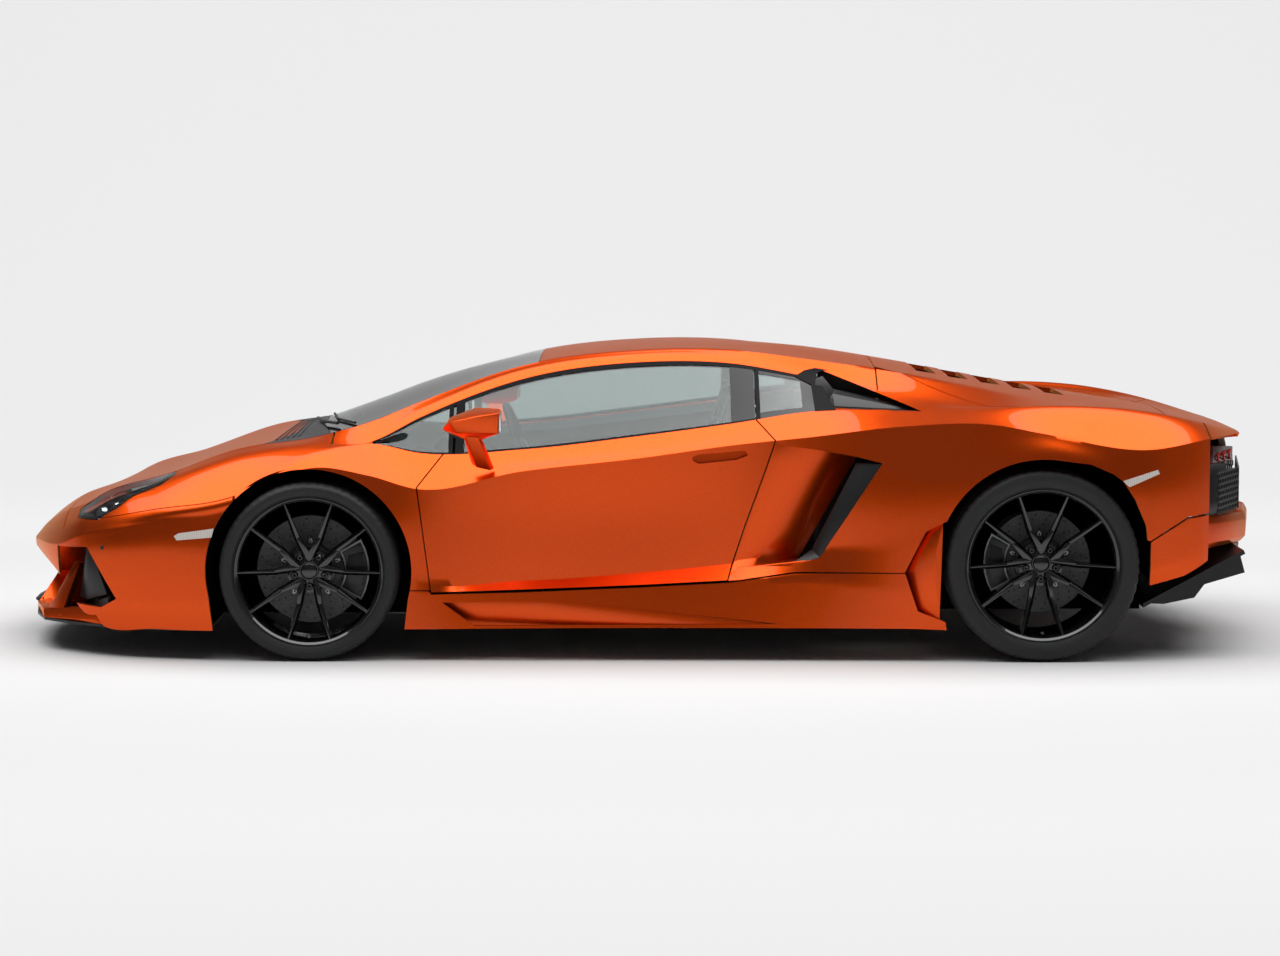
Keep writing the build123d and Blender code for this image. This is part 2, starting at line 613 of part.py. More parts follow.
def tub():
    """Cabin tub, bulkheads and the rails that carry the suspension, engine and bumpers."""
    shape = box(-640, 832, -880, 880, 126, 160)
    shape += box(825, 1400, -540, 540, 126, 160)
    for side in (1, -1):
        shape += box(-600, 815, min(side * 800, side * 905), max(side * 800, side * 905), 126, 232)
        shape += box(815, 1400, min(side * 515, side * 540), max(side * 515, side * 540), 126, 550)
        shape += box(815, 832, min(side * 515, side * 850), max(side * 515, side * 850), 126, 550)
        shape += box(1380, 2090, min(side * 330, side * 400), max(side * 330, side * 400), 250, 400)
        shape += box(-1930, -640, min(side * 360, side * 430), max(side * 360, side * 430), 230, 420)
        shape += box(-2060, -1930, min(side * 360, side * 430), max(side * 360, side * 430), 320, 420)
    shape += box(1380, 1400, -540, 540, 126, 690)
    shape += box(-640, 850, -120, 120, 126, 360)
    shape += box(1400, 2080, -330, 330, 250, 258) + box(2072, 2080, -330, 330, 250, 480)
    shape += section_plate(-660, -640)
    window = box(-700, -600, -330, 330, 860, 1010)
    return shape - window


def front_frame():
    """Crash frame ahead of the front wheels, and the cross beam behind the beak."""
    plate = section_plate(1640, 1660, foot=142.0) - box(1600, 1700, -690, 690, 410, 900)
    return plate - box(1600, 1700, -330, 330, 258, 420) + box(
        2075, 2100, -400, 400, 240, 420)


def rear_frame():
    """Frame behind the rear wheels."""
    return section_plate(-1930, -1910, foot=240.0) - box(-1950, -1900, -700, 700, 480, 1000)


# ---------------------------------------------------------------- wheels, about their own centre, outboard towards +Y
hub_face = 28.0            # where the rim seats on the brake disc's hat
bore_radius = 36.0         # hole in the hat, which the spindle passes with the running gap round it
disc_thickness = 34.0
spoke_pairs = 5


def tyre(radius, width, rim_radius):
    """Tyre with a rounded shoulder, open at the bead."""
    half = width / 2
    profile = [
        (rim_radius, half - 14), ((radius + rim_radius) / 2 - 4, half), (radius - 10, half - 10), (radius, half - 34),
    ]
    return turned(profile + [(r, -y) for r, y in reversed(profile)])


def rim(rim_radius, width):
    """Rim with ten slender arms in five pairs, each pair rising from a narrow fork round a wheel bolt."""
    half = width / 2 - 19
    barrel = turned([
        (rim_radius, half), (rim_radius - 9, half), (rim_radius - 20, half - 30),
        (rim_radius - 22, 10 - half), (rim_radius - 8, -half), (rim_radius, -half),
    ])
    face_hub, face_rim = hub_face + 46, half - 8
    shape = barrel + disc_y(84, hub_face, hub_face + 26) + disc_y(34, hub_face + 20, face_hub, sides=12)
    shape -= round_bar(bore_radius, hub_face - 10, hub_face + 14)
    for k in range(spoke_pairs):
        middle = radians(-90 + k * 360 / spoke_pairs)
        for side in (1, -1):
            nodes = [(30, side * 27, face_hub - 2), (128, side * 39, face_hub + 6),
                     (rim_radius - 25, side * 78, face_rim)]
            for (r0, s0, y0), (r1, s1, y1) in zip(nodes, nodes[1:]):
                corners = []
                for r, s, y in ((r0, s0, y0), (r1, s1, y1)):
                    for across, depth in ((-5, 0), (5, 0), (-13, 14), (13, 14), (-11, 36), (11, 36)):
                        a = s + across
                        x = r * cos(middle) - a * sin(middle)
                        z = r * sin(middle) + a * cos(middle)
                        corners.append((x, y - depth, z))
                shape += hull(*corners)
    return shape


def round_bar(radius, y0, y1):
    """Round bar on the wheel's axis."""
    return Pos(0, (y0 + y1) / 2, 0) * Rot(90, 0, 0) * Cylinder(radius, y1 - y0)


def brake_disc(radius):
    """Brake disc with its hat."""
    ring = turned([
        (bore_radius - 6, hub_face), (96, hub_face), (96, 0), (radius, 0), (radius, -disc_thickness),
        (84, -disc_thickness), (84, hub_face - 10), (bore_radius - 6, hub_face - 10),
    ], sides=32)
    return ring - round_bar(bore_radius, hub_face - 20, hub_face + 10)


def caliper(radius, facing):
    """Brake caliper that straddles the disc, centred at the angle facing."""
    inner, crown, wall = 128, 12, 22
    low, high = -disc_thickness - running_gap, running_gap
    profile = [
        (inner, low - wall), (radius + running_gap + crown, low - wall), (radius + running_gap + crown, high + wall),
        (inner, high + wall), (inner, high), (radius + running_gap, high), (radius + running_gap, low), (inner, low),
    ]
    return turned(profile, sides=6, facing=facing, span=62.0)


def upright(radius, facing):
    """Hub carrier: bearing housing, spindle, caliper bracket and caliper."""
    shape = disc_y(52, -100, -disc_thickness - 10) + round_bar(bore_radius - running_gap, -60, hub_face + 6)
    shape += hull(*[(x, y, z) for x, z in ((-38, -100), (38, -100), (-38, 100), (38, 100)) for y in (-96, -54)])
    toward = -1 if facing == 180 else 1
    shape += hull(*[(toward * x, y, z) for x, z in ((0, -60), (0, 60), (150, -50), (150, 50)) for y in (-60, -52)])
    return shape + caliper(radius, facing)


kingpin_offset = kingpin_y - front_track / 2
front_disc_radius = 200.0
rear_disc_radius = 190.0
ball_joint_height = 118.0


def knuckle():
    """Steered hub carrier with its kingpin."""
    pin = Pos(0, kingpin_offset, 0) * Cylinder(15, 2 * ball_joint_height + 40)
    return upright(front_disc_radius, 180) + pin


def wishbones(axle, pivot_y, outer_y, eye):
    """Upper and lower arms from the chassis rail to the hub carrier, with an eye round the pin where it has one."""
    shapes = []
    for lift in (-ball_joint_height, ball_joint_height):
        x, z = axle[0], axle[1] + lift
        inner_z = z * 0.55 + 315 * 0.45
        arm = hull(*[
            (x + s * w, y, h + d) for y, w, h in ((pivot_y, 150, inner_z), (outer_y, 24, z))
            for s in (1, -1) for d in (-10, 10)])
        if eye:
            arm += Pos(x, kingpin_y, z) * Cylinder(24, 24)
            arm -= Pos(x, kingpin_y, z) * Cylinder(15.5, 60)
        shapes.append(arm)
    return shapes


# ---------------------------------------------------------------- cabin contents
def seat():
    """Bucket seat on the left: cushion, tapering back with side bolsters and a fixed headrest."""
    x, y = 60, 395
    cushion = hull(*[(x + a, y + s * w, z) for a, w, z in (
        (-180, 225, 170), (330, 240, 175), (-180, 215, 290), (330, 235, 330), (350, 220, 300)) for s in (1, -1)])
    back = hull(*[(x + a, y + s * w, z) for a, w, z in (
        (-160, 235, 250), (-260, 225, 250), (-330, 200, 800), (-430, 180, 800), (-200, 235, 420)) for s in (1, -1)])
    head = hull(*[(x + a, y + s * w, z) for a, w, z in (
        (-335, 120, 790), (-425, 110, 790), (-385, 105, 965), (-450, 90, 965)) for s in (1, -1)])
    return cushion + back + head


STEERING_PLACE = Pos(455, 400, 742) * Rot(0, -68, 0) * Rot(0, 0, 90)
column_radius = 22.0


def dashboard():
    """Dashboard, its hood and the centre console that runs back between the seats."""
    top = side_prism([(1120, 560), (1120, 768), (980, 792), (720, 742), (660, 690), (690, 560), (900, 552)], -640, 640)
    hood = side_prism([(800, 740), (760, 800), (640, 790), (650, 700), (720, 690)], 240, 560)
    console = side_prism([(720, 600), (420, 470), (-250, 430), (-250, 360), (848, 360), (848, 560)], -115, 115)
    tyre_room = box(835, 1200, 535, 700, 500, 680)
    column_hole = STEERING_PLACE * Pos(0, 0, -200) * Cylinder(column_radius + running_gap, 400)
    return top + hood + console - column_hole - tyre_room - mirrored(tyre_room)


def steering_wheel():
    """Steering wheel on its column."""
    section = [(178 + 15 * cos(radians(a)), 15 * sin(radians(a))) for a in range(0, 360, 45)]
    ring = Rot(90, 0, 0) * turned(section, sides=32)
    spokes = Cylinder(52, 34) + box(-165, 165, -16, 16, -9, 9) + box(-30, 30, -165, 0, -9, 9)
    column = Pos(0, 0, -120) * Cylinder(column_radius, 240)
    return STEERING_PLACE * (ring + spokes + column)


def mirror_housing():
    """Left door mirror: a faceted pod on a slanted stem."""
    pod = hull(
        (737, 1000, 857), (700, 1010, 905), (700, 1085, 890), (610, 1000, 941), (515, 1000, 936), (515, 1128, 928),
        (600, 1125, 915), (522, 1000, 842), (524, 1110, 850), (591, 1005, 818), (655, 1000, 822), (680, 1060, 850))
    stem = hull(
        (660, 1010, 835), (590, 1010, 830), (600, 1040, 832), (650, 1035, 835),
        (630, 905, 725), (545, 905, 705), (560, 925, 700), (610, 925, 712))
    return pod + stem


# ---------------------------------------------------------------- the car
def wheel_place(axle, track):
    """Where a left wheel's centre stands."""
    return Pos(axle[0], track / 2, axle[1])


def without(shape, *others):
    """Shape with the room that others take removed, as a list of solids."""
    for other in others:
        shape = shape - other
    return shape


def assemble():
    """Every node's solids, by name."""
    bumper = front_bumper()
    roof_shell = roof()
    left_wing = wing()
    tail_bar = rear_bumper()
    left_quarter = quarter()
    left_door = door_panel()
    left_sill = sill()
    front_light, rear_light = fixed_glass()
    rear_light = rear_light - left_quarter
    blade = intake_blade()
    wall = tail_panel() - tail_bar
    screen = windscreen() - roof_shell
    outside = [roof_shell, bumper, tail_bar, screen, wall]
    outside += both(left_wing, left_quarter, left_sill, blade, front_light, rear_light, vent())
    structure = largest(without(tub() + front_frame() + rear_frame(), *outside))
    nodes = {
        "tub": structure,
        "bonnet": bonnet(),
        "front_bumper": bumper,
        "front_wings": both(left_wing),
        "headlamps": both(headlamp()),
        "cowl": cowl(),
        "windscreen": screen,
        "roof": roof_shell,
        "fixed_side_glass": both(front_light, rear_light),
        "rear_quarters": both(left_quarter),
        "side_ducts": both(blade, vent()),
        "sills": both(left_sill),
        "engine_cover": engine_cover(),
        "tail_spoiler": tail_spoiler(),
        "tail_panel": wall,
        "tail_lamps": both(tail_lamp()),
        "rear_bumper": tail_bar,
        "diffuser": diffuser(),
        "exhaust": exhaust(),
        "engine": box(-1560, -690, -330, 330, 200, 760),
        "seats": both(seat()),
        "dashboard": dashboard() - structure,
        "steering_wheel": steering_wheel(),
    }
    arms = wishbones(front_axle, 540, 762, True) + wishbones(rear_axle, 430, 742, False)
    nodes["wishbones"] = both(*arms)
    rear_upright = wheel_place(rear_axle, rear_track) * upright(rear_disc_radius, 0)
    nodes["rear_uprights"] = both(rear_upright)
    left_only = {
        "door": left_door,
        "door_glass": door_glass() - left_door,
        "mirror": mirror_housing(),
        "front_knuckle": wheel_place(front_axle, front_track) * knuckle(),
    }
    for end, axle, track, tyre_size, rim_radius, disc_radius in (
        ("front", front_axle, front_track, (front_tyre_radius, front_tyre_width), front_rim_radius, front_disc_radius),
        ("rear", rear_axle, rear_track, (rear_tyre_radius, rear_tyre_width), rear_rim_radius, rear_disc_radius),
    ):
        place = wheel_place(axle, track)
        left_only[end + "_tyre"] = place * tyre(*tyre_size, rim_radius)
        left_only[end + "_rim"] = place * rim(rim_radius, tyre_size[1])
        left_only[end + "_disc"] = place * brake_disc(disc_radius)
    for name, shape in left_only.items():
        nodes[name + "_left"] = shape
        nodes[name + "_right"] = mirrored(shape)
    return nodes


os.makedirs("parts", exist_ok=True)
for node, content in assemble().items():
    solids = content if isinstance(content, list) else pieces(content)
    export_step(solids[0] if len(solids) == 1 else Compound(solids), f"parts/{node}.step")
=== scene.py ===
# Dresses a mid-engined two-seat supercar: pearl orange body, black wheels, lamps, glass and cabin.
from math import atan2, cos, degrees, hypot, pi, radians, sin

import bpy
import numpy as np
from mathutils import Matrix, Vector


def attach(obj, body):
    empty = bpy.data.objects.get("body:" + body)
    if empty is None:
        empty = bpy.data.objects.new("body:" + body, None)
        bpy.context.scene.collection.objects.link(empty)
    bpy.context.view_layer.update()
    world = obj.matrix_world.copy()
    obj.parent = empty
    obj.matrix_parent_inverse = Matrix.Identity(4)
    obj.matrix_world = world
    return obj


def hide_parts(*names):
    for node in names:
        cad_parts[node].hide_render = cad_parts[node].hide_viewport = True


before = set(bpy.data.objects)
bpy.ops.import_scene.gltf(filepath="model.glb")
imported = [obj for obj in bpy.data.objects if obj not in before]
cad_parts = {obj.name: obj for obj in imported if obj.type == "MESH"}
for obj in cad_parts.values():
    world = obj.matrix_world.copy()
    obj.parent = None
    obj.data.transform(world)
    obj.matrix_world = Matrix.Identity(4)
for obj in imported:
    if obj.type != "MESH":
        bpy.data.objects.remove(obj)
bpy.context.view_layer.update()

bpy.ops.object.select_all(action="DESELECT")
mm = 0.001      # the car is dimensioned in millimetres


# the body surface: nine lines run from nose to tail, one row for each station along the car
# rail is the bonnet edge and roof crease, drip the top of the side glass and belt its foot
# the door is creased at the shoulder, and again at the hem, where it turns out
bodyLines = ("spine", "rail", "drip", "belt", "shoulder", "waist", "hem", "sill", "skirt")
creasedLines = ("rail", "shoulder", "hem", "sill", "skirt")
bodyStations = (
    # x   spine  rail       drip       belt       shoulder   waist      hem        sill       skirt
    (2388,   372,    12, 371,   20, 370,   28, 368,   34, 364,   32, 352,   28, 345,   24, 338,   18, 333),
    (2330,   434,   130, 428,  180, 418,  225, 403,  262, 378,  250, 350,  235, 335,  222, 325,  205, 318),
    (2200,   532,   430, 508,  510, 482,  575, 448,  622, 402,  612, 350,  600, 312,  588, 282,  570, 268),
    (2105,   565,   560, 548,  640, 525,  715, 496,  765, 448,  768, 385,  762, 310,  752, 235,  735, 170),
    (2020,   593,   610, 597,  700, 566,  793, 514,  840, 470,  848, 400,  842, 310,  830, 205,  808, 118),
    (1800,   660,   640, 662,  762, 638,  900, 558,  925, 510,  935, 425,  930, 320,  922, 215,  905, 113),
    (1500,   752,   660, 765,  800, 728,  955, 612,  968, 560,  980, 440,  978, 330,  972, 225,  958, 112),
    (1230,   838,   690, 808,  810, 788,  905, 752,  960, 712,  984, 560,  984, 400,  978, 255,  964, 116),
    (1010,   917,   655, 866,  762, 797,  768, 788,  950, 686,  972, 540,  970, 400,  962, 250,  958, 117),
    (829,    984,   612, 938,  704, 884,  802, 757,  950, 636,  953, 500,  950, 300,  952, 253,  956, 118),
    (450,   1082,   540, 1068, 620, 1022, 830, 772,  938, 699,  918, 520,  905, 292,  950, 265,  962, 122),
    (10,    1132,   512, 1124, 576, 1083, 826, 822,  928, 748,  900, 540,  888, 320,  948, 282,  966, 124),
    (-330,  1135,   490, 1124, 560, 1078, 815, 867,  926, 795,  904, 560,  890, 354,  952, 299,  970, 124),
    (-620,  1116,   492, 1090, 556, 1028, 792, 910,  935, 826,  940, 590,  930, 400,  965, 310,  976, 124),
    (-960,  1064,   500, 1040, 640, 968,  790, 915,  950, 866,  985, 640,  988, 430,  988, 260,  984, 123),
    (-1290, 1003,   515, 978,  742, 921,  810, 923,  962, 872, 1008, 690, 1012, 480, 1006, 260,  994, 122),
    (-1470,  971,   520, 945,  752, 922,  826, 928,  972, 840, 1015, 730, 1014, 500, 1010, 290, 1000, 150),
    (-1860,  905,   505, 886,  700, 892,  800, 906,  978, 782,  992, 640,  988, 470,  980, 330,  965, 280),
    (-2092,  860,   470, 850,  640, 858,  740, 862,  903, 818,  903, 660,  898, 545,  890, 420,  880, 330),
    (-2270,  818,   300, 816,  400, 815,  450, 813,  486, 809,  484, 700,  480, 600,  476, 500,  470, 420),
)
stationTable = np.array(bodyStations, float)
stationU = -stationTable[:, 0]      # grows from nose to tail
frontEnd, rearEnd = bodyStations[0][0], bodyStations[-1][0]
lastLine = len(bodyLines) - 1


def slopeTable(u, values):
    rise = np.diff(values, axis=0) / np.diff(u)[:, None]
    share = ((u[1:-1] - u[:-2]) / (u[2:] - u[:-2]))[:, None]
    middle = rise[:-1] * (1 - share) + rise[1:] * share
    return np.vstack([rise[:1], middle, rise[-1:]])


stationSlopes = slopeTable(stationU, stationTable[:, 1:])


def hermite(t, length, p0, p1, m0, m1):
    return (
        p0 * (2 * t**3 - 3 * t**2 + 1) + m0 * length * (t**3 - 2 * t**2 + t)
        + p1 * (3 * t**2 - 2 * t**3) + m1 * length * (t**3 - t**2)
    )


def sectionAt(xs):      # every line's y and z at each x
    u = np.clip(-np.asarray(xs, float), stationU[0], stationU[-1])
    i = np.clip(np.searchsorted(stationU, u, side="right") - 1, 0, len(stationU) - 2)
    length = (stationU[i + 1] - stationU[i])[:, None]
    t = (u - stationU[i])[:, None] / length
    start, end = stationTable[i, 1:], stationTable[i + 1, 1:]
    rows = hermite(t, length, start, end, stationSlopes[i], stationSlopes[i + 1])
    points = np.zeros((len(u), len(bodyLines), 2))
    points[:, 0, 1] = rows[:, 0]
    points[:, 1:, 0] = rows[:, 1::2]
    points[:, 1:, 1] = rows[:, 2::2]
    return points


def lineSlope(points, j):
    if j == 0:
        return points[:, 1] - points[:, 0]
    if j == lastLine:
        return points[:, j] - points[:, j - 1]
    return (points[:, j + 1] - points[:, j - 1]) / 2


def tamed(slope, chord):        # a slope held to twice its chord, so that a short stretch has no loop
    reach = 2 * np.linalg.norm(chord, axis=1, keepdims=True)
    steepness = np.linalg.norm(slope, axis=1, keepdims=True)
    return slope * np.minimum(1, reach / np.maximum(steepness, 0.001))


def bodyGrid(xs, vs):       # surface points for each x and each place v, counted in lines out from the spine
    points = sectionAt(xs)
    grid = np.zeros((len(xs), len(vs), 3))
    for k, v in enumerate(vs):
        j = min(int(abs(v)), lastLine - 1)
        t = abs(v) - j
        chord = points[:, j + 1] - points[:, j]
        m0 = chord if bodyLines[j] in creasedLines else lineSlope(points, j)
        if j == 0:
            m0 = chord * (1, 0)
        m1 = chord if bodyLines[j + 1] in creasedLines else lineSlope(points, j + 1)
        found = hermite(t, 1.0, points[:, j], points[:, j + 1], tamed(m0, chord), tamed(m1, chord))
        grid[:, k, 0] = xs
        grid[:, k, 1] = found[:, 0] * (1 if v >= 0 else -1)
        grid[:, k, 2] = found[:, 1]
    return grid


def outwardGrid(xs, vs):
    reachX, reachV = 15.0, 0.12
    xs, vs = np.asarray(xs, float), np.asarray(vs, float)
    ahead, behind = np.minimum(xs + reachX, frontEnd), np.maximum(xs - reachX, rearEnd)
    leftwards, rightwards = np.minimum(vs + reachV, lastLine), np.maximum(vs - reachV, -lastLine)
    along = bodyGrid(ahead, vs) - bodyGrid(behind, vs)
    across = bodyGrid(xs, leftwards) - bodyGrid(xs, rightwards)
    away = -np.cross(across, along)
    return away / np.linalg.norm(away, axis=2, keepdims=True)


# mesh helpers
def meshObject(name, points, faces, edges=()):
    mesh = bpy.data.meshes.new(name)
    mesh.from_pydata([Vector(p) * mm for p in points], edges, faces)
    mesh.update()
    piece = bpy.data.objects.new(name, mesh)
    bpy.context.collection.objects.link(piece)
    return piece


def only(piece):        # selects one piece and nothing else
    bpy.ops.object.select_all(action="DESELECT")
    piece.select_set(True)
    bpy.context.view_layer.objects.active = piece
    return piece


def place(piece):       # writes the piece's place into its mesh
    only(piece)
    bpy.ops.object.transform_apply(location=True, rotation=True, scale=True)
    return piece


def modify(piece, kind, **settings):
    only(piece)
    modifier = piece.modifiers.new(kind.title(), kind)
    for key, value in settings.items():
        setattr(modifier, key, value)
    bpy.ops.object.modifier_apply(modifier=modifier.name)
    return piece


def joined(name, *parts):
    bpy.ops.object.select_all(action="DESELECT")
    for part in parts:
        part.select_set(True)
    bpy.context.view_layer.objects.active = parts[0]
    if len(parts) > 1:
        bpy.ops.object.join()
    parts[0].name = name
    parts[0].data.name = name
    return parts[0]


def copied(piece, name=None):
    twin = piece.copy()
    twin.data = piece.data.copy()
    bpy.context.collection.objects.link(twin)
    if name:
        twin.name = name
        twin.data.name = name
    return twin


def acrossCar(piece, name=None):        # the same piece on the other side of the car
    twin = copied(piece, name)
    twin.data.transform(Matrix.Scale(-1, 4, (0, 1, 0)))
    twin.data.flip_normals()
    return twin


def bothSides(piece):
    return joined(piece.name, piece, acrossCar(piece))


def onItsSide(piece, side):     # a left piece as it is, or its twin in its place on the right
    if side == "left":
        return piece
    twin = acrossCar(piece)
    bpy.data.objects.remove(piece)
    return twin


def smooth(piece, angle=32):
    only(piece)
    bpy.ops.object.shade_smooth_by_angle(angle=radians(angle))
    return piece


def outwards(piece):
    only(piece)
    bpy.ops.object.mode_set(mode="EDIT")
    bpy.ops.mesh.select_all(action="SELECT")
    bpy.ops.mesh.remove_doubles(threshold=0.00002)
    bpy.ops.mesh.delete_loose()
    bpy.ops.mesh.select_all(action="SELECT")
    bpy.ops.mesh.normals_make_consistent(inside=False)
    bpy.ops.object.mode_set(mode="OBJECT")
    return piece


def prism(points, push):        # a flat outline pushed straight out to a closed block
    block = meshObject("cutter", points, [list(range(len(points)))])
    only(block)
    bpy.ops.object.mode_set(mode="EDIT")
    bpy.ops.mesh.select_all(action="SELECT")
    bpy.ops.mesh.extrude_region_move(
        TRANSFORM_OT_translate={"value": Vector(push) * mm, "orient_type": "GLOBAL"})
    bpy.ops.mesh.select_all(action="SELECT")
    bpy.ops.mesh.normals_make_consistent(inside=False)
    bpy.ops.object.mode_set(mode="OBJECT")
    return block


def sideBlock(outline, y0=500, y1=1100):        # an outline from the side, pushed through the car's left half
    return prism([(x, y0, z) for x, z in outline], (0, y1 - y0, 0))


def planBlock(outline, z0=700, z1=1200):        # an outline from above, pushed up
    return prism([(x, y, z0) for x, y in outline], (0, 0, z1 - z0))


def cut(piece, *cutters, keepInside=False):
    kind = "INTERSECT" if keepInside else "DIFFERENCE"
    for cutter in cutters:
        whole = piece.data.copy()
        modify(piece, "BOOLEAN", operation=kind, solver="FAST", object=cutter)
        if not piece.data.polygons:     # the quick solver lost the piece, so the careful one cuts it
            piece.data = whole
            modify(piece, "BOOLEAN", operation=kind, solver="EXACT", use_self=True, object=cutter)
        bpy.data.objects.remove(cutter)
    return piece


def grown(outline, margin):     # an outline moved outwards on every edge
    ahead, behind = outline[1:] + outline[:1], outline[-1:] + outline[:-1]
    turning = sum(x0 * z1 - x1 * z0 for (x0, z0), (x1, z1) in zip(outline, ahead))
    side = margin if turning > 0 else -margin
    result = []
    for before, here, after in zip(behind, outline, ahead):
        ax, az = here[0] - before[0], here[1] - before[1]
        bx, bz = after[0] - here[0], after[1] - here[1]
        an, bn = hypot(ax, az), hypot(bx, bz)
        scale = side / (1 + (ax * bx + az * bz) / (an * bn))
        result.append((here[0] + (az / an + bz / bn) * scale, here[1] - (ax / an + bx / bn) * scale))
    return result


def ramp(start, end, step):     # evenly spaced values from start to end, about a step apart
    count = max(1, round(abs(end - start) / step))
    return [start + (end - start) * k / count for k in range(count + 1)]


# a thick piece of the body surface: xs and vs are its grid, sunk its depth, keep says which cells stay
def bodySkin(name, xs, vs, thickness=22.0, sunk=0.0, keep=None):
    xs, vs = sorted(set(xs), reverse=True), sorted(set(vs))
    surface, away = bodyGrid(xs, vs), outwardGrid(xs, vs)
    outer, inner = surface - away * sunk, surface - away * (sunk + thickness)
    wide = len(vs)
    total = len(xs) * wide
    cells = {
        (i, j) for i in range(len(xs) - 1) for j in range(wide - 1)
        if keep is None or keep((xs[i] + xs[i + 1]) / 2, (vs[j] + vs[j + 1]) / 2)
    }
    faces = []
    for i, j in sorted(cells):
        a, b, c, d = i * wide + j, (i + 1) * wide + j, (i + 1) * wide + j + 1, i * wide + j + 1
        faces.append((a, d, c, b))
        faces.append((a + total, b + total, c + total, d + total))
        for near, far, beside in (
            (a, b, (i, j - 1)), (b, c, (i + 1, j)), (c, d, (i, j + 1)), (d, a, (i - 1, j)),
        ):
            if beside not in cells:
                faces.append((near, far, far + total, near + total))
    points = np.vstack([outer.reshape(-1, 3), inner.reshape(-1, 3)])
    used = sorted({k for face in faces for k in face})
    order = {k: n for n, k in enumerate(used)}
    return meshObject(name, points[used], [[order[k] for k in face] for face in faces])


def lines(start, end, perLine=8):       # places across the body, fine enough to keep its creases
    count = round(abs(end - start) * perLine)
    return [start + (end - start) * k / count for k in range(count + 1)]


# a profile of (radius, y) turned about Y, all the way or over a span in degrees about where it is facing
def spun(name, profile, centre=(0, 0, 0), steps=96, facing=0, span=360):
    turn = radians(facing - span / 2) if span < 360 else 0
    start = [(centre[0] + r * cos(turn), centre[1] + y, centre[2] + r * sin(turn)) for r, y in profile]
    count = len(start)
    piece = meshObject(name, start, [], [(k, (k + 1) % count) for k in range(count)])
    only(piece)
    bpy.ops.object.mode_set(mode="EDIT")
    bpy.ops.mesh.select_all(action="SELECT")
    if span < 360:
        bpy.ops.mesh.edge_face_add()
    bpy.ops.mesh.spin(steps=steps, angle=radians(span), center=Vector(centre) * mm, axis=(0, 1, 0))
    bpy.ops.object.mode_set(mode="OBJECT")
    return outwards(piece)


def hullPiece(name, corners, soften=0, rounds=2):       # the tight skin round some corners, edges softened
    piece = meshObject(name, corners, [])
    only(piece)
    bpy.ops.object.mode_set(mode="EDIT")
    bpy.ops.mesh.select_all(action="SELECT")
    bpy.ops.mesh.convex_hull()
    bpy.ops.mesh.dissolve_limited(angle_limit=radians(2))
    bpy.ops.object.mode_set(mode="OBJECT")
    if soften:
        modify(piece, "BEVEL", width=soften * mm, segments=rounds, limit_method="ANGLE",
               angle_limit=radians(20))
    return outwards(piece)


def acrossHull(name, corners, *softening):      # one hull between the corners' places on both sides
    return hullPiece(name, [(x, side * y, z) for x, y, z in corners for side in (1, -1)], *softening)


def hullPair(name, corners, *softening):        # the same hull on both sides
    return [hullPiece(name, [(x, side * y, z) for x, y, z in corners], *softening) for side in (1, -1)]


def moved(piece, x=0, y=0, z=0):
    piece.data.transform(Matrix.Translation(Vector((x, y, z)) * mm))
    return piece


def turned(piece, degreesOn, axis="Y"):
    piece.data.transform(Matrix.Rotation(radians(degreesOn), 4, axis))
    return piece


def rod(name, radius, start, end, sides=24):        # a round bar between two points
    start, end = Vector(start) * mm, Vector(end) * mm
    bpy.ops.mesh.primitive_cylinder_add(
        vertices=sides, radius=radius * mm, depth=(end - start).length, location=(start + end) / 2,
        rotation=(end - start).to_track_quat("Z", "Y").to_euler())
    piece = place(bpy.context.active_object)
    piece.name = name
    return piece


# finishes
def linear(hexColour):      # an sRGB hex colour as Blender's linear values
    channels = [int(hexColour[k:k + 2], 16) / 255 for k in (1, 3, 5)]
    return [c / 12.92 if c <= 0.04045 else ((c + 0.055) / 1.055) ** 2.4 for c in channels] + [1.0]


def addNode(tree, kind, inputs=None, **settings):
    node = tree.nodes.new(kind)
    for key, value in settings.items():
        setattr(node, key, value)
    for socket, value in (inputs or {}).items():
        if isinstance(value, bpy.types.NodeSocket):
            tree.links.new(value, node.inputs[socket])
        else:
            node.inputs[socket].default_value = value
    return node


def newMaterial(name, colour, **sockets):
    material = bpy.data.materials.new(name)
    material.use_nodes = True
    tree = material.node_tree
    shader = tree.nodes["Principled BSDF"]
    shader.inputs["Base Color"].default_value = linear(colour)
    for socket, value in sockets.items():
        shader.inputs[socket.replace("_", " ")].default_value = value
    material.diffuse_color = linear(colour)
    addNode(tree, "ShaderNodeTexCoord", name="place")
    return material, tree, shader


def objectPoint(tree):      # every pattern sits on its piece by Object coordinates
    return tree.nodes["place"].outputs["Object"]


def addGrain(tree, shader, size, depth, kind="ShaderNodeTexNoise"):     # bump, its grain size in millimetres
    grain = addNode(tree, kind, {"Vector": objectPoint(tree), "Scale": 1 / (size * mm)})
    height = grain.outputs["Fac"] if kind == "ShaderNodeTexNoise" else grain.outputs["Distance"]
    bump = addNode(tree, "ShaderNodeBump", {"Height": height, "Strength": 0.6, "Distance": depth * mm})
    tree.links.new(bump.outputs["Normal"], shader.inputs["Normal"])


# pearl paint: sprayed mica basecoat under a flowed clear coat, so it glows where it faces the light
pearlPaint = {
    "colour": "#DA3B00", "flake": "#FFA83C", "flakeSize": 1.6, "flakeShare": 0.16, "edge": "#FFB85E",
    "metallic": 0.92, "roughness": 0.33, "coat": 0.26, "coatRoughness": 0.03, "pearl": 0.3,
    "pearlRoughness": 0.3,
}


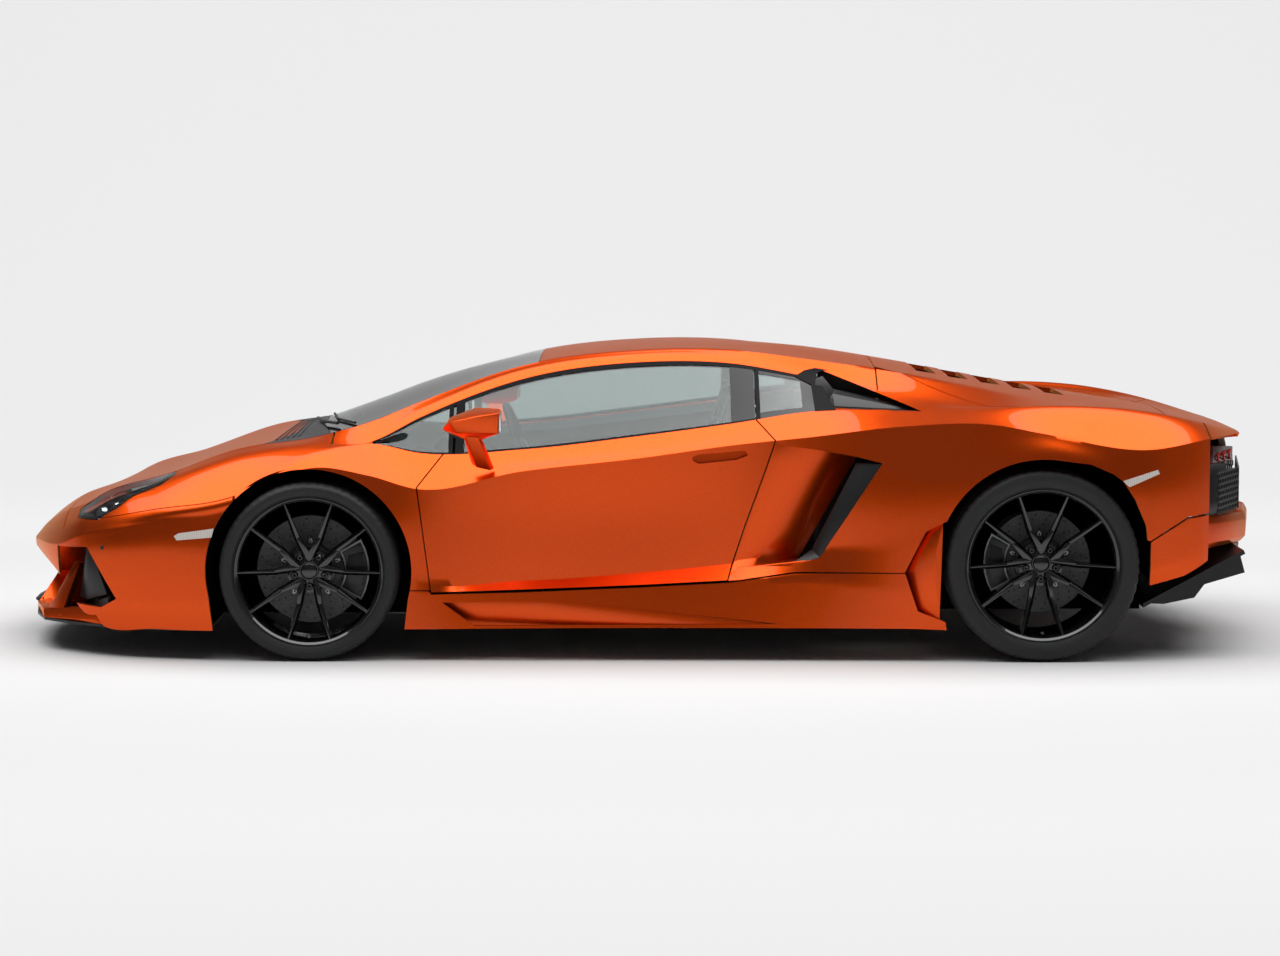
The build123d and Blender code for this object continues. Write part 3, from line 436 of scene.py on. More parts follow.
def makePearlPaint():
    look = pearlPaint
    colour, flake, edge = linear(look["colour"]), linear(look["flake"]), linear(look["edge"])
    material, tree, shader = newMaterial(
        "pearlOrangeClearCoatedPaint", look["colour"], Metallic=look["metallic"], Roughness=look["roughness"],
        Specular_Tint=edge, Coat_Weight=look["coat"], Coat_Roughness=look["coatRoughness"], Coat_IOR=1.5,
        Sheen_Weight=look["pearl"], Sheen_Roughness=look["pearlRoughness"], Sheen_Tint=edge)
    flakes = addNode(tree, "ShaderNodeTexVoronoi", {
        "Vector": objectPoint(tree), "Scale": 1 / (look["flakeSize"] * mm)})
    level = addNode(tree, "ShaderNodeMapRange", {
        "Value": flakes.outputs["Color"], "From Min": 0.0, "From Max": 1.0, "To Min": 0.0,
        "To Max": look["flakeShare"]})
    mixed = addNode(tree, "ShaderNodeMix", {
        "Factor": level.outputs["Result"], 6: colour, 7: flake}, data_type="RGBA")
    tree.links.new(mixed.outputs[2], shader.inputs["Base Color"])
    return material


def addMottle(tree, shader, colour, other, size):       # two close tones in soft patches, size in millimetres
    patches = addNode(tree, "ShaderNodeTexNoise", {
        "Vector": objectPoint(tree), "Scale": 1 / (size * mm), "Detail": 3.0})
    tones = addNode(tree, "ShaderNodeMix", {
        "Factor": patches.outputs["Fac"], 6: linear(colour), 7: linear(other)}, data_type="RGBA")
    tree.links.new(tones.outputs[2], shader.inputs["Base Color"])


def addUneven(tree, shader, low, high, size):       # gloss that varies a little, as hands and cloths leave it
    patches = addNode(tree, "ShaderNodeTexNoise", {
        "Vector": objectPoint(tree), "Scale": 1 / (size * mm), "Detail": 2.0})
    level = addNode(tree, "ShaderNodeMapRange", {
        "Value": patches.outputs["Fac"], "To Min": low, "To Max": high})
    tree.links.new(level.outputs["Result"], shader.inputs["Roughness"])


def makeMoulded():      # injection-moulded ABS with a spark-eroded grain: satin, slightly broken highlights
    material, tree, shader = newMaterial("satinBlackMouldedAbs", "#151517", Roughness=0.42)
    addMottle(tree, shader, "#131315", "#1C1C1F", 40)
    addGrain(tree, shader, 1.5, 0.12)
    return material


def makeFrameRubber():      # extruded window rubber: near black with hardly any shine
    material, tree, shader = newMaterial(
        "extrudedWindowRubber", "#070708", Roughness=0.6, Specular_IOR_Level=0.1)
    addMottle(tree, shader, "#060607", "#0A0A0B", 30)
    return material


def makeFrit():     # black enamel baked on the back of the glass: smooth, dark, a soft reflection
    material, tree, shader = newMaterial("bakedBlackEnamel", "#0A0A0C", Specular_IOR_Level=0.3)
    addUneven(tree, shader, 0.16, 0.24, 200)
    return material


def makeRimBlack():     # forged aluminium, black powder coat under clear: edges catch thin bright lines
    material, tree, shader = newMaterial(
        "glossBlackCoatedForging", "#0B0B0C", Metallic=0.25, Coat_Weight=1.0, Coat_Roughness=0.05)
    addUneven(tree, shader, 0.2, 0.3, 30)
    return material


def makeRubber():       # vulcanised tyre rubber: charcoal, matt, faintly mottled from mould release
    material, tree, shader = newMaterial("vulcanisedTyreRubber", "#17181A")
    addMottle(tree, shader, "#141516", "#212224", 25)
    addGrain(tree, shader, 1.2, 0.15)
    addUneven(tree, shader, 0.55, 0.72, 50)
    return material


def makeDiscIron():     # carbon-ceramic disc: dark grey with pale fibre flecks pressed in random directions
    material, tree, shader = newMaterial("carbonCeramicDisc", "#3B3C3E", Roughness=0.45)
    flecks = addNode(tree, "ShaderNodeTexVoronoi", {"Vector": objectPoint(tree), "Scale": 1 / (5 * mm)})
    tones = addNode(tree, "ShaderNodeMix", {
        "Factor": flecks.outputs["Distance"], 6: linear("#2E2F31"), 7: linear("#56575A")}, data_type="RGBA")
    tree.links.new(tones.outputs[2], shader.inputs["Base Color"])
    return material


def makeMetal(name, colour, low, high):     # bare metal whose gloss varies as it was machined or cast
    material, tree, shader = newMaterial(name, colour, Metallic=1.0)
    addUneven(tree, shader, low, high, 12)
    return material


def makeFelt():     # needle-punched fibre liner: black, soft, no gloss
    material, tree, shader = newMaterial("blackFibreLiner", "#0B0B0B", Roughness=1.0, Specular_IOR_Level=0.1)
    addMottle(tree, shader, "#070707", "#121212", 6)
    addGrain(tree, shader, 4, 0.8)
    return material


def makeGlass(name, colour, bend=1.5):      # float glass or clear plastic: smooth, tinted in its mass
    material, tree, shader = newMaterial(name, colour, IOR=bend, Transmission_Weight=1.0)
    addUneven(tree, shader, 0.0, 0.015, 300)
    return material


def makeWeave():        # woven carbon fibre under resin: small diagonal squares that turn light and dark
    material, tree, shader = newMaterial("carbonFibreTwill", "#15161A", Coat_Weight=0.8, Coat_Roughness=0.1)
    turn = addNode(tree, "ShaderNodeMapping", {"Vector": objectPoint(tree), "Rotation": (0.0, 0.6, pi / 4)})
    checks = addNode(tree, "ShaderNodeTexChecker", {
        "Vector": turn.outputs["Vector"], "Scale": 1 / (8 * mm), "Color1": linear("#0E0F12"),
        "Color2": linear("#24262B")})
    tree.links.new(checks.outputs["Color"], shader.inputs["Base Color"])
    addUneven(tree, shader, 0.3, 0.45, 8)
    return material


def makeLeather(name, colour, other):       # dyed hide, embossed grain: soft sheen broken by small cells
    material, tree, shader = newMaterial(name, colour, Roughness=0.55, Sheen_Weight=0.15)
    addMottle(tree, shader, colour, other, 30)
    addGrain(tree, shader, 3, 0.3, "ShaderNodeTexVoronoi")
    return material


def makeLens(name, colour, other):      # moulded lens with a prism pattern behind its face
    material, tree, shader = newMaterial(
        name, colour, Roughness=0.22, Specular_IOR_Level=0.3, Coat_Weight=0.15, Coat_Roughness=0.05)
    prisms = addNode(tree, "ShaderNodeTexWave", {
        "Vector": objectPoint(tree), "Scale": 1 / (22 * mm)}, bands_direction="X")
    tones = addNode(tree, "ShaderNodeMix", {
        "Factor": prisms.outputs["Fac"], 6: linear(colour), 7: linear(other)}, data_type="RGBA")
    tree.links.new(tones.outputs[2], shader.inputs["Base Color"])
    return material


paint = makePearlPaint()
satinBlack, rimBlack, rubber = makeMoulded(), makeRimBlack(), makeRubber()
frameRubber, bakedEnamel = makeFrameRubber(), makeFrit()
discIron, linerFelt, weave = makeDiscIron(), makeFelt(), makeWeave()
brightSteel = makeMetal("zincPlatedSteel", "#B9BABC", 0.22, 0.4)
castAlloy = makeMetal("sandCastAluminium", "#8D8F92", 0.45, 0.65)
lampChrome = makeMetal("vacuumChromedReflector", "#D9DBDE", 0.05, 0.12)
exhaustSteel = makeMetal("brushedStainlessSteel", "#A5A19B", 0.25, 0.4)
darkGlass = makeGlass("laminatedWindscreenGlass", "#82918F")
sideGlass = makeGlass("temperedSideGlass", "#C4D2D0")
clearCover = makeGlass("clearPolycarbonate", "#DCE2E2", 1.22)
markerLens = makeLens("clearReflectorLens", "#CFC4BA", "#E6DFD8")
tailLens = makeLens("smokedRedLens", "#2A0E0C", "#4A1512")
leather = makeLeather("blackGrainedLeather", "#161618", "#202023")
suede = makeLeather("charcoalSuede", "#26272A", "#303135")
brakeRed = makeLens("redLensBars", "#7A1410", "#B0231A")


def coat(piece, material):
    piece.data.materials.clear()
    piece.data.materials.append(material)


# a piece's finish, the body it moves with and the CAD nodes it stands for
def finish(piece, material, body, slot, *nodes):
    coat(piece, material)
    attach(piece, body)
    if nodes:
        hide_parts(*nodes)
    return piece


# what the panels are cut to: wheels, gaps, outlines as (x, z) from the side and plans as (x, y) from above
wheels = {
    "frontX": 1230, "frontTrack": 1700, "frontRadius": 330.5, "frontWidth": 255, "frontRim": 277,
    "frontArch": 379,
    "rearX": -1470, "rearTrack": 1676, "rearRadius": 355.5, "rearWidth": 335, "rearRim": 284,
    "rearArch": 393,
}
gaps = {"shut": 5, "seam": 3, "screen": 3, "cowl": 6}
doorOutline = [
    (699, 800), (829, 640), (804, 448), (779, 252), (452, 263), (10, 281), (-310, 299),
    (-376, 501), (-449, 704), (-485, 811), (-412, 885), (-412, 960), (699, 960),
]
headlampOutline = [(2120, 528), (2072, 562), (2005, 625), (1750, 690), (1752, 668), (1800, 636), (1900, 595),
                   (1955, 555), (2030, 508), (2120, 505)]
frontIntakeOutline = [(2210, 392), (2066, 408), (1950, 221), (2014, 184), (2210, 190)]
sideIntakeOutline = [(-489, 800), (-755, 762), (-879, 731), (-650, 380), (-537, 350), (-339, 344),
                     (-388, 500)]
ventOutline = [(-650, 1040), (-676, 1050), (-1035, 912), (-712, 920)]
pillarCheekOutline = [(-574, 1030), (-612, 1050), (-652, 1058), (-700, 1050), (-676, 1047), (-653, 1038),
                      (-716, 918), (-724, 908), (-640, 906), (-634, 1000)]
rearVentOutline = [(-1125, 527), (-1037, 482), (-961, 331), (-1010, 187), (-1118, 146), (-1140, 300)]
sillRecessOutline = [(739, 216), (625, 131), (-504, 139), (305, 226)]
handleOutline = [(-182, 752), (-205, 761), (-372, 775), (-384, 768), (-384, 756), (-345, 741), (-205, 726),
                 (-184, 738)]
frontMarkerOutline = [(1724, 462), (1706, 473), (1575, 492), (1583, 459), (1713, 447)]
rearMarkerOutline = [(-1755, 670), (-1886, 709), (-1893, 694), (-1778, 647)]
bonnetRearPlan = [(1330, 0), (1330, 330), (1420, 640), (1420, 800)]
screenFootPlan = [(1230, 0), (1220, 350), (1174, 640), (1174, 760)]
lidPlan = [(-885, 0), (-885, 410), (-960, 480), (-1294, 722), (-1500, 722), (-1828, 640), (-2005, 560),
           (-2005, 0)]
spoilerPlan = [(-2012, 0), (-2012, 500), (-2095, 720), (-2095, 960), (-2400, 960), (-2400, 0)]


def symmetricPlan(half):        # a closed plan from its left half, which starts and ends on the middle line
    return half + [(x, -y) for x, y in half[::-1] if y > 0]


def arch(end):      # the round opening over a wheel and the straight edges below it
    x, z = wheels[end + "X"], wheels[end + "Radius"]
    inner, outer = 500, 1100
    foot = {
        "front": [(x + 378, 330), (x + 350, 60), (x - 345, 60), (x - 378, 330)],
        "rear": [(x + 392, 355), (x + 345, 60), (x - 370, 60), (x - 392, 355), (x - 374, 504), (x - 331, 601),
                 (x - 287, 668), (x - 249, 695), (x - 168, 730), (x - 30, 748)],
    }[end]
    bpy.ops.mesh.primitive_cylinder_add(
        vertices=160, radius=wheels[end + "Arch"] * mm, depth=(outer - inner) * mm, rotation=(pi / 2, 0, 0),
        location=(x * mm, (inner + outer) / 2 * mm, z * mm))
    return [place(bpy.context.active_object), sideBlock(foot, inner, outer)]


def bothBlocks(outline, y0=500, y1=1100):
    return [sideBlock(outline, y0, y1), sideBlock(outline, -y1, -y0)]


def beyondLine(line, shift, farX):      # block over both sides between a line across the car and farX
    half = [(x + shift, y) for x, y in line] + [(farX, line[-1][1])]
    return planBlock([(farX, 0)] + half[::-1][:-1] + [half[0]] + [(x, -y) for x, y in half[1:]], 300, 1300)


# body panels
panelStep = 15      # how finely the panels follow the body, in millimetres
betweenRails = [-0.99] + lines(-0.95, 0.95, 10) + [0.99]


def makeBonnet():
    panel = bodySkin("bonnetPanel", ramp(2185, 1325, panelStep), betweenRails)
    cut(panel, beyondLine(bonnetRearPlan, 0, 1000))
    return finish(smooth(panel), paint, "bonnet", "body_paint", "bonnet")


bumperEnd = 1506        # where the front bumper meets the wings


def makeFrontBumper():
    noseLine, bonnetLine, seamLine = 2065, 2188, 3.045
    xs = ramp(2387, 2200, 8) + ramp(2200, bonnetLine, 6) + ramp(bonnetLine, bumperEnd, panelStep) + [noseLine]
    half = lines(3.125, 8) + [seamLine, 3] + lines(0, 3)
    vs = [-v for v in half] + half
    panel = bodySkin("frontBumperShell", xs, vs, keep=lambda x, v: (
        abs(v) > seamLine or x > bonnetLine or (x > noseLine and abs(v) > 3)))
    cut(panel, *bothBlocks(frontIntakeOutline), *bothBlocks(grown(headlampOutline, gaps["seam"])))
    for cutter in arch("front"):
        twin = acrossCar(cutter)
        cut(panel, cutter, twin)
    return finish(smooth(panel), paint, "chassis", "body_paint", "front_bumper")


def makeFrontWings():
    screenLine, glassLine = 1158, 1005
    xs = ramp(2184, 705, panelStep) + [bumperEnd, screenLine, glassLine]
    panel = bodySkin("frontWingPanels", xs, [1.01] + lines(1.125, 8), keep=lambda x, v: (
        (v < 2 and x > screenLine) or (2 < v < 3 and x > glassLine) or (v > 3 and x < bumperEnd - 6)))
    cut(panel, sideBlock(grown(headlampOutline, gaps["seam"])), *arch("front"))
    cut(panel, sideBlock(grown(doorOutline, gaps["shut"])),
        sideBlock([(690, 60), (905, 60), (905, 262), (690, 262)]))
    return finish(smooth(bothSides(panel)), paint, "chassis", "body_paint", "front_wings")


def makeCowl():
    panel = bodySkin("cowlPanel", ramp(1425, 1170, panelStep), betweenRails, thickness=12)
    cut(panel, beyondLine(bonnetRearPlan, -gaps["cowl"], 1800), beyondLine(screenFootPlan, 0, 900))
    return finish(smooth(panel), satinBlack, "chassis", "satin_black_plastic", "cowl")


def makeWindscreen():
    panel = bodySkin("windscreenPane", ramp(1235, 392, 20), lines(-0.985, 0.985, 10), thickness=6)
    cut(panel, beyondLine(screenFootPlan, -gaps["screen"], 1800))
    return finish(smooth(panel), darkGlass, "chassis", "tinted_glass", "windscreen")


roofEnd, glassEnd = -880, -640      # where the roof and the rear side glass stop


def makeRoof():
    screenTop = 390
    xs = ramp(1150, roofEnd, panelStep) + [screenTop]
    panel = bodySkin("roofPanel", xs, lines(-2, 2), keep=lambda x, v: abs(v) > 1 or x < screenTop)
    cut(panel, *bothBlocks(ventOutline, 440, 1100))
    return finish(smooth(panel), paint, "chassis", "body_paint", "roof")


def makeDoor(side):
    panel = bodySkin("doorPanel_" + side, ramp(835, -495, panelStep), lines(3, 7), thickness=60)
    cut(panel, sideBlock(doorOutline, 600), keepInside=True)
    cut(panel, sideBlock(handleOutline, 903))
    panel = joined("doorPanel_" + side, onItsSide(panel, side))
    return finish(smooth(panel), paint, "door_" + side, "body_paint", "door_" + side)


def makeQuarters():
    xs = ramp(-315, -2088, panelStep) + [glassEnd, roofEnd]
    panel = bodySkin("rearQuarterPanels", xs, lines(1, 8), keep=lambda x, v: (
        v > 3 or (v > 2.03 and x < glassEnd) or x < roofEnd - 4))
    cut(panel, sideBlock(grown(doorOutline, gaps["shut"])), sideBlock(sideIntakeOutline, 700))
    cut(panel, sideBlock(ventOutline, 400), planBlock(grown(lidPlan, gaps["shut"])))
    cut(panel, planBlock(grown(spoilerPlan, gaps["shut"]), 600), sideBlock(rearVentOutline, 700),
        *arch("rear"))
    cut(panel, sideBlock([(-1840, 452), (-1862, 447), (-2000, 536), (-2100, 545), (-2100, 60), (-1840, 60)]))
    cut(panel, sideBlock([(900, 258), (452, 259), (10, 277), (-318, 295), (-560, 330), (-1160, 330),
                          (-1160, 60), (900, 60)], 700))
    return finish(smooth(bothSides(panel)), paint, "chassis", "body_paint", "rear_quarters")


def makeSills():
    panel = bodySkin("sillPanels", ramp(905, -1130, panelStep), lines(5, 8))
    below = [(905, 258), (790, 258), (779, 245), (452, 253), (10, 271), (-318, 289), (-560, 324),
             (-1160, 327), (-1160, 60), (905, 60)]
    cut(panel, sideBlock(below, 700), keepInside=True)
    cut(panel, sideBlock(sillRecessOutline, 700), sideBlock(rearVentOutline, 700))
    cut(panel, *arch("front"), *arch("rear"))
    return finish(smooth(bothSides(panel)), paint, "chassis", "body_paint", "sills")


def makeEngineCover():
    panel = bodySkin("engineCoverPanel", ramp(roofEnd, -2010, panelStep), lines(-2, 2), thickness=16)
    cut(panel, planBlock(symmetricPlan(lidPlan)), keepInside=True)
    return finish(smooth(panel), paint, "engine_cover", "body_paint", "engine_cover")


def makeSpoiler():
    panel = bodySkin("tailSpoilerPanel", ramp(-2010, -2268, panelStep), lines(-4, 4), thickness=16)
    cut(panel, planBlock(symmetricPlan(spoilerPlan), 700, 1000), keepInside=True)
    return finish(smooth(panel), paint, "tail_spoiler", "body_paint", "tail_spoiler")


for makePanel in (makeBonnet, makeFrontBumper, makeFrontWings, makeCowl, makeWindscreen, makeRoof,
                  makeQuarters, makeSills, makeEngineCover, makeSpoiler):
    makePanel()
for side in ("left", "right"):
    makeDoor(side)
print("body panels done")


# wheels: a tyre, a black rim with five forked pairs of arms, a disc whose drilled holes are black dots of
# painted shade, and a caliper at each corner
wheelLook = {
    "pairs": 5, "hubFace": 74, "kinkFace": 81, "hubSpread": 25, "kinkRadius": 122, "kinkSpread": 36,
    "endSpread": 77, "bolts": 5, "boltCircle": 58, "boltRadius": 12, "pinCircle": 103, "holeRadius": 3.4,
    "holeRows": 4, "holesInRow": 20, "treadSteps": 240, "notch": 3, "caliperSpan": 58,
}
discSizes = {"front": 200, "rear": 190}


def aroundWheel(piece, angles, name):       # copies of a piece turned about the wheel's axis
    twins = [turned(copied(piece), -angle) for angle in angles]
    bpy.data.objects.remove(piece)
    return joined(name, *twins)


def evenly(count, first=0.0):       # angles all round the wheel, the first one some steps on
    return [(k + first) * 360 / count for k in range(count)]


def makeTyre(end, name):
    radius, rimRadius, half = wheels[end + "Radius"], wheels[end + "Rim"], wheels[end + "Width"] / 2
    groove, depth = 9, 7
    shoulder = [(rimRadius - 2, half - 20), (rimRadius + 3, half - 13), (rimRadius + 6, half - 8),
                (rimRadius + 9, half - 7), (rimRadius + 18, half - 1.5), ((radius + rimRadius) / 2, half),
                (radius - 20, half - 1.5), (radius - 14, half - 4), (radius - 9, half - 10),
                (radius - 4, half - 19), (radius - 1.5, half - 31)]
    crown = []
    for middle in (half * 0.58, half * 0.2):
        crown += [(radius - 0.5, middle + groove), (radius - depth, middle + groove * 0.7),
                  (radius - depth, middle - groove * 0.7), (radius, middle - groove)]
    profile = shoulder + crown
    piece = spun(name, profile + [(r, -y) for r, y in reversed(profile)], steps=wheelLook["treadSteps"])
    for vertex in piece.data.vertices:       # notches cut across the shoulder blocks
        x, y, z = vertex.co / mm
        reach = hypot(x, z)
        step = round((degrees(atan2(z, x)) % 360) * wheelLook["treadSteps"] / 360)
        if step % 4 == 0 and radius - 15 < reach < radius - 1 and abs(y) > half * 0.7:
            vertex.co.x *= (reach - wheelLook["notch"]) / reach
            vertex.co.z *= (reach - wheelLook["notch"]) / reach
    return smooth(piece, 40)


def makeRim(end, name):
    look = wheelLook
    rimRadius, half = wheels[end + "Rim"], wheels[end + "Width"] / 2 - 19
    barrel = spun(name + "Barrel", [
        (rimRadius, half - 4), (rimRadius - 2, half), (rimRadius - 5, half + 1), (rimRadius - 9, half - 1),
        (rimRadius - 12, half - 6), (rimRadius - 14, half - 7), (rimRadius - 17, half - 12),
        (rimRadius - 20, half - 30), (rimRadius - 23, half - 60), (rimRadius - 24, 30 - half),
        (rimRadius - 12, 8 - half), (rimRadius - 9, -half), (rimRadius, -half)], steps=128)
    arms = []
    for side in (1, -1):
        nodes = [       # reach from the axle, distance to the side, face, ridge half width, body half width
            (30, side * look["hubSpread"], look["hubFace"] - 3, 12, 17),
            (look["kinkRadius"], side * look["kinkSpread"], look["kinkFace"], 6, 13),
            (rimRadius - 14, side * look["endSpread"], half - 6, 3, 8),
        ]
        for k in (0, 1):
            corners = []
            for r, across, face, ridge, body in nodes[k:k + 2]:
                lean, foot = side * 4, body * 0.8
                for shift, drop in (
                    (lean - ridge, 0), (lean + ridge, 0), (-body, 13), (body, 13), (-foot, 36), (foot, 36),
                ):
                    corners.append((across + shift, face - drop, -r))
            arms.append(hullPiece("arm", corners, 1.6))
    web = hullPiece("web", [(x, y, z) for x in (-16, 16) for z in (-84, -40) for y in (28, 52)], 2)
    arms = aroundWheel(joined("armPair", *arms, web), evenly(look["pairs"]), "arms")
    hub = spun("hub", [(12, 66), (34, 66), (40, 62), (66, 54), (76, 50), (82, 40), (84, 28), (36, 28),
                       (36, 40), (12, 40)], steps=60)
    cap = spun("cap", [(0, 80), (14, 79.5), (24, 77.5), (28, 74), (29, 66), (0, 66)], steps=48)
    capRing = spun("capRing", [(29, 72), (31, 75.5), (34, 75.5), (36, 70), (36, 60), (29, 60)], steps=48)
    bolt = spun("bolt", [(5.5, 66), (8.5, 66), (look["boltRadius"], 63), (look["boltRadius"] + 1, 54),
                         (15.5, 53), (16.5, 55), (18, 55), (18, 48), (5.5, 50)], steps=24)
    bolts = aroundWheel(moved(bolt, 0, 0, -look["boltCircle"]), evenly(look["bolts"]), "bolts")
    valve = moved(rod("valve", 4.5, (0, half - 30, 0), (0, half - 8, 0), 12), 0, 0, -(rimRadius - 34))
    return smooth(joined(name, barrel, arms, hub, cap, capRing, bolts, valve), 34)


def makeDisc(end, name):
    radius = discSizes[end]
    ring = spun(name, [(32, 28), (88, 28), (94, 25), (96, 18), (97, 2), (104, 0), (radius - 1.5, 0),
                       (radius, -2), (radius, -14), (radius - 6, -14), (radius - 6, -20), (radius, -20),
                       (radius, -32), (radius - 1.5, -34), (84, -34), (84, 18), (32, 18)], steps=96)
    return smooth(ring, 34)


def makeDiscHoleShade(end, name):       # thin black dots of painted shade where the drilled holes are, each row a quarter of a step further round
    look, radius = wheelLook, discSizes[end]
    size = look["holeRadius"]
    holes = []
    for row in range(look["holeRows"]):
        reach = 122 + row * (radius - 136) / (look["holeRows"] - 1)
        dot = spun("dot", [(0, 0.5), (size, 0.5), (size + 0.6, 0.1), (0, 0.1)], steps=10)
        holes.append(aroundWheel(moved(dot, 0, 0, -reach), evenly(look["holesInRow"], 0.25 * row), "holes"))
    return smooth(joined(name, *holes), 40)


def makePins(name):     # the floating pins round the disc's hat
    loop = spun("pin", [(4.5, 5), (7.5, 5), (9, 3), (9, -1), (4.5, -1)], steps=20)
    loop.data.transform(Matrix.Diagonal((0.8, 1, 1.35, 1)))
    pins = moved(loop, 0, 0, -wheelLook["pinCircle"])
    return smooth(aroundWheel(pins, evenly(5, 0.5), name), 40)


def makeCaliper(end, name):
    radius, facing = discSizes[end], {"front": 180, "rear": 0}[end]
    body = spun(name + "Body", [
        (126, 7), (radius - 8, 7), (radius + 7, 5), (radius + 7, -41), (126, -41), (126, -63),
        (radius + 12, -63), (radius + 20, -56), (radius + 20, 20), (radius + 12, 29), (radius - 20, 31),
        (136, 29), (126, 24)],
        steps=20, facing=facing, span=wheelLook["caliperSpan"])
    modify(body, "BEVEL", width=2 * mm, segments=2, limit_method="ANGLE", angle_limit=radians(30))
    sign = -1 if facing == 180 else 1
    ribs = []
    for angle in (-24, -15, 15, 24):
        bolt = rod("caliperBolt", 6, (sign * (radius + 4), 20, 0), (sign * (radius + 4), 34, 0), 12)
        ribs.append(turned(bolt, angle))
    bridge = hullPiece("caliperPlate", [
        (sign * r, y, z) for r, z in ((140, -52), (140, 52), (radius - 4, -66), (radius - 4, 66))
        for y in (30, 34)], 1.5)
    return smooth(joined(name, body, bridge, *ribs), 34)


def atCorner(piece, end, side, name):       # a copy of a left wheel's piece at its corner of the car
    twin = moved(copied(piece), wheels[end + "X"], wheels[end + "Track"] / 2, wheels[end + "Radius"])
    return joined(name, onItsSide(twin, side))


def makeWheels():
    for end in ("front", "rear"):
        models = (
            ("Tyre", makeTyre(end, "model"), rubber, "tyre_rubber", "_tyre_"),
            ("Rim", makeRim(end, "model"), rimBlack, "rim_black", "_rim_"),
            ("Disc", makeDisc(end, "model"), discIron, "disc_iron", "_disc_"),
            # the disc's holes are thin satin black dots on its face: painted shade, not openings
            ("DiscHoles", makeDiscHoleShade(end, "model"), satinBlack, "satin_black_plastic", None),
            ("DiscPins", makePins("model"), brightSteel, "cast_alloy", None),
        )
        for label, model, material, slot, node in models:
            for side in ("left", "right"):
                piece = atCorner(model, end, side, end + label + "_" + side)
                nodes = [end + node + side] if node else []
                finish(piece, material, end + "_wheel_" + side, slot, *nodes)
            bpy.data.objects.remove(model)
        caliper = makeCaliper(end, "model")
        for side in ("left", "right"):
            piece = atCorner(caliper, end, side, end + "Caliper_" + side)
            body = "knuckle_" + side if end == "front" else "chassis"
            finish(piece, satinBlack, body, "satin_black_plastic")
        bpy.data.objects.remove(caliper)


makeWheels()
print("wheels done")


# wheel arch liners: black fibre shells that close each arch over its wheel, a flat shield beside them
linerLook = {
    "thickness": 3, "foot": 130,
    "front": {"radius": 382, "inner": 542, "outer": 944, "span": 206, "ahead": 45},
    "rear": {"radius": 428, "inner": 436, "outer": 950, "span": 200, "ahead": 5},
}


def makeLiners():
    thick = linerLook["thickness"]
    shells = []
    for end in ("front", "rear"):
        look = linerLook[end]
        radius, inner, outer = look["radius"], look["inner"], look["outer"]
        x, z = wheels[end + "X"], wheels[end + "Radius"]
        profile = [(radius, inner), (radius, outer), (radius + thick, outer), (radius + thick, inner - thick),
                   (150, inner - thick), (150, inner)]
        shells.append(spun("liner", profile, (x, 0, z), steps=48, facing=90, span=look["span"]))
        shells.append(hullPiece("shield", [
            (x + dx, y, height) for dx in (-radius - 5, radius + look["ahead"])
            for y in (inner - thick, inner) for height in (linerLook["foot"], z + 20)]))
    liners = smooth(bothSides(joined("archLiners", *shells)), 40)
    return finish(liners, linerFelt, "chassis", "satin_black_plastic")


makeLiners()


# side glass, its black frames and the pillars between the panes
glassTop, glassFoot = 2.06, 3       # on the lines across the body
doorGlass = {"front": 694, "rear": -418, "top": 2.09, "glass": 5, "band": 1.5}


def makeDoorGlass(side):
    down = lines(doorGlass["top"], glassFoot, 14)
    front, rear = doorGlass["front"], doorGlass["rear"]
    pane = bodySkin("doorGlassPane", ramp(front, rear, 20), down, thickness=doorGlass["glass"], sunk=3)
    bar = bodySkin("glassBar", ramp(696, 664, 16), down, thickness=9, sunk=1)
    strip = bodySkin("beltStrip", ramp(690, -416, 20), [2.955, 2.97, 2.985, 3], thickness=10, sunk=1)
    band = bodySkin("pillarBand", ramp(-328, -417, 16), down, thickness=doorGlass["band"], sunk=1.3)
    for name, piece, material, slot, nodes in (
        ("doorGlass_", pane, sideGlass, "tinted_glass", ["door_glass_" + side]),
        ("doorGlassTrim_", joined("doorGlassTrim", bar, strip), frameRubber, "satin_black_plastic", []),
        ("doorPillarBand_", band, bakedEnamel, "satin_black_plastic", []),
    ):
        piece = joined(name + side, onItsSide(piece, side))
        finish(smooth(piece), material, "door_" + side, slot, *nodes)


def makeFixedGlass():
    down = lines(glassTop, glassFoot, 14)
    front = bodySkin("quarterLight", ramp(1005, 708, 15), down, thickness=5, sunk=3)
    rear = bodySkin("rearPane", ramp(-426, glassEnd, 15), down, thickness=5, sunk=3)
    cut(rear, sideBlock(grown(ventOutline, gaps["seam"])))
    finish(smooth(bothSides(joined("fixedSideGlass", front, rear))), sideGlass, "chassis", "tinted_glass",
           "fixed_side_glass")


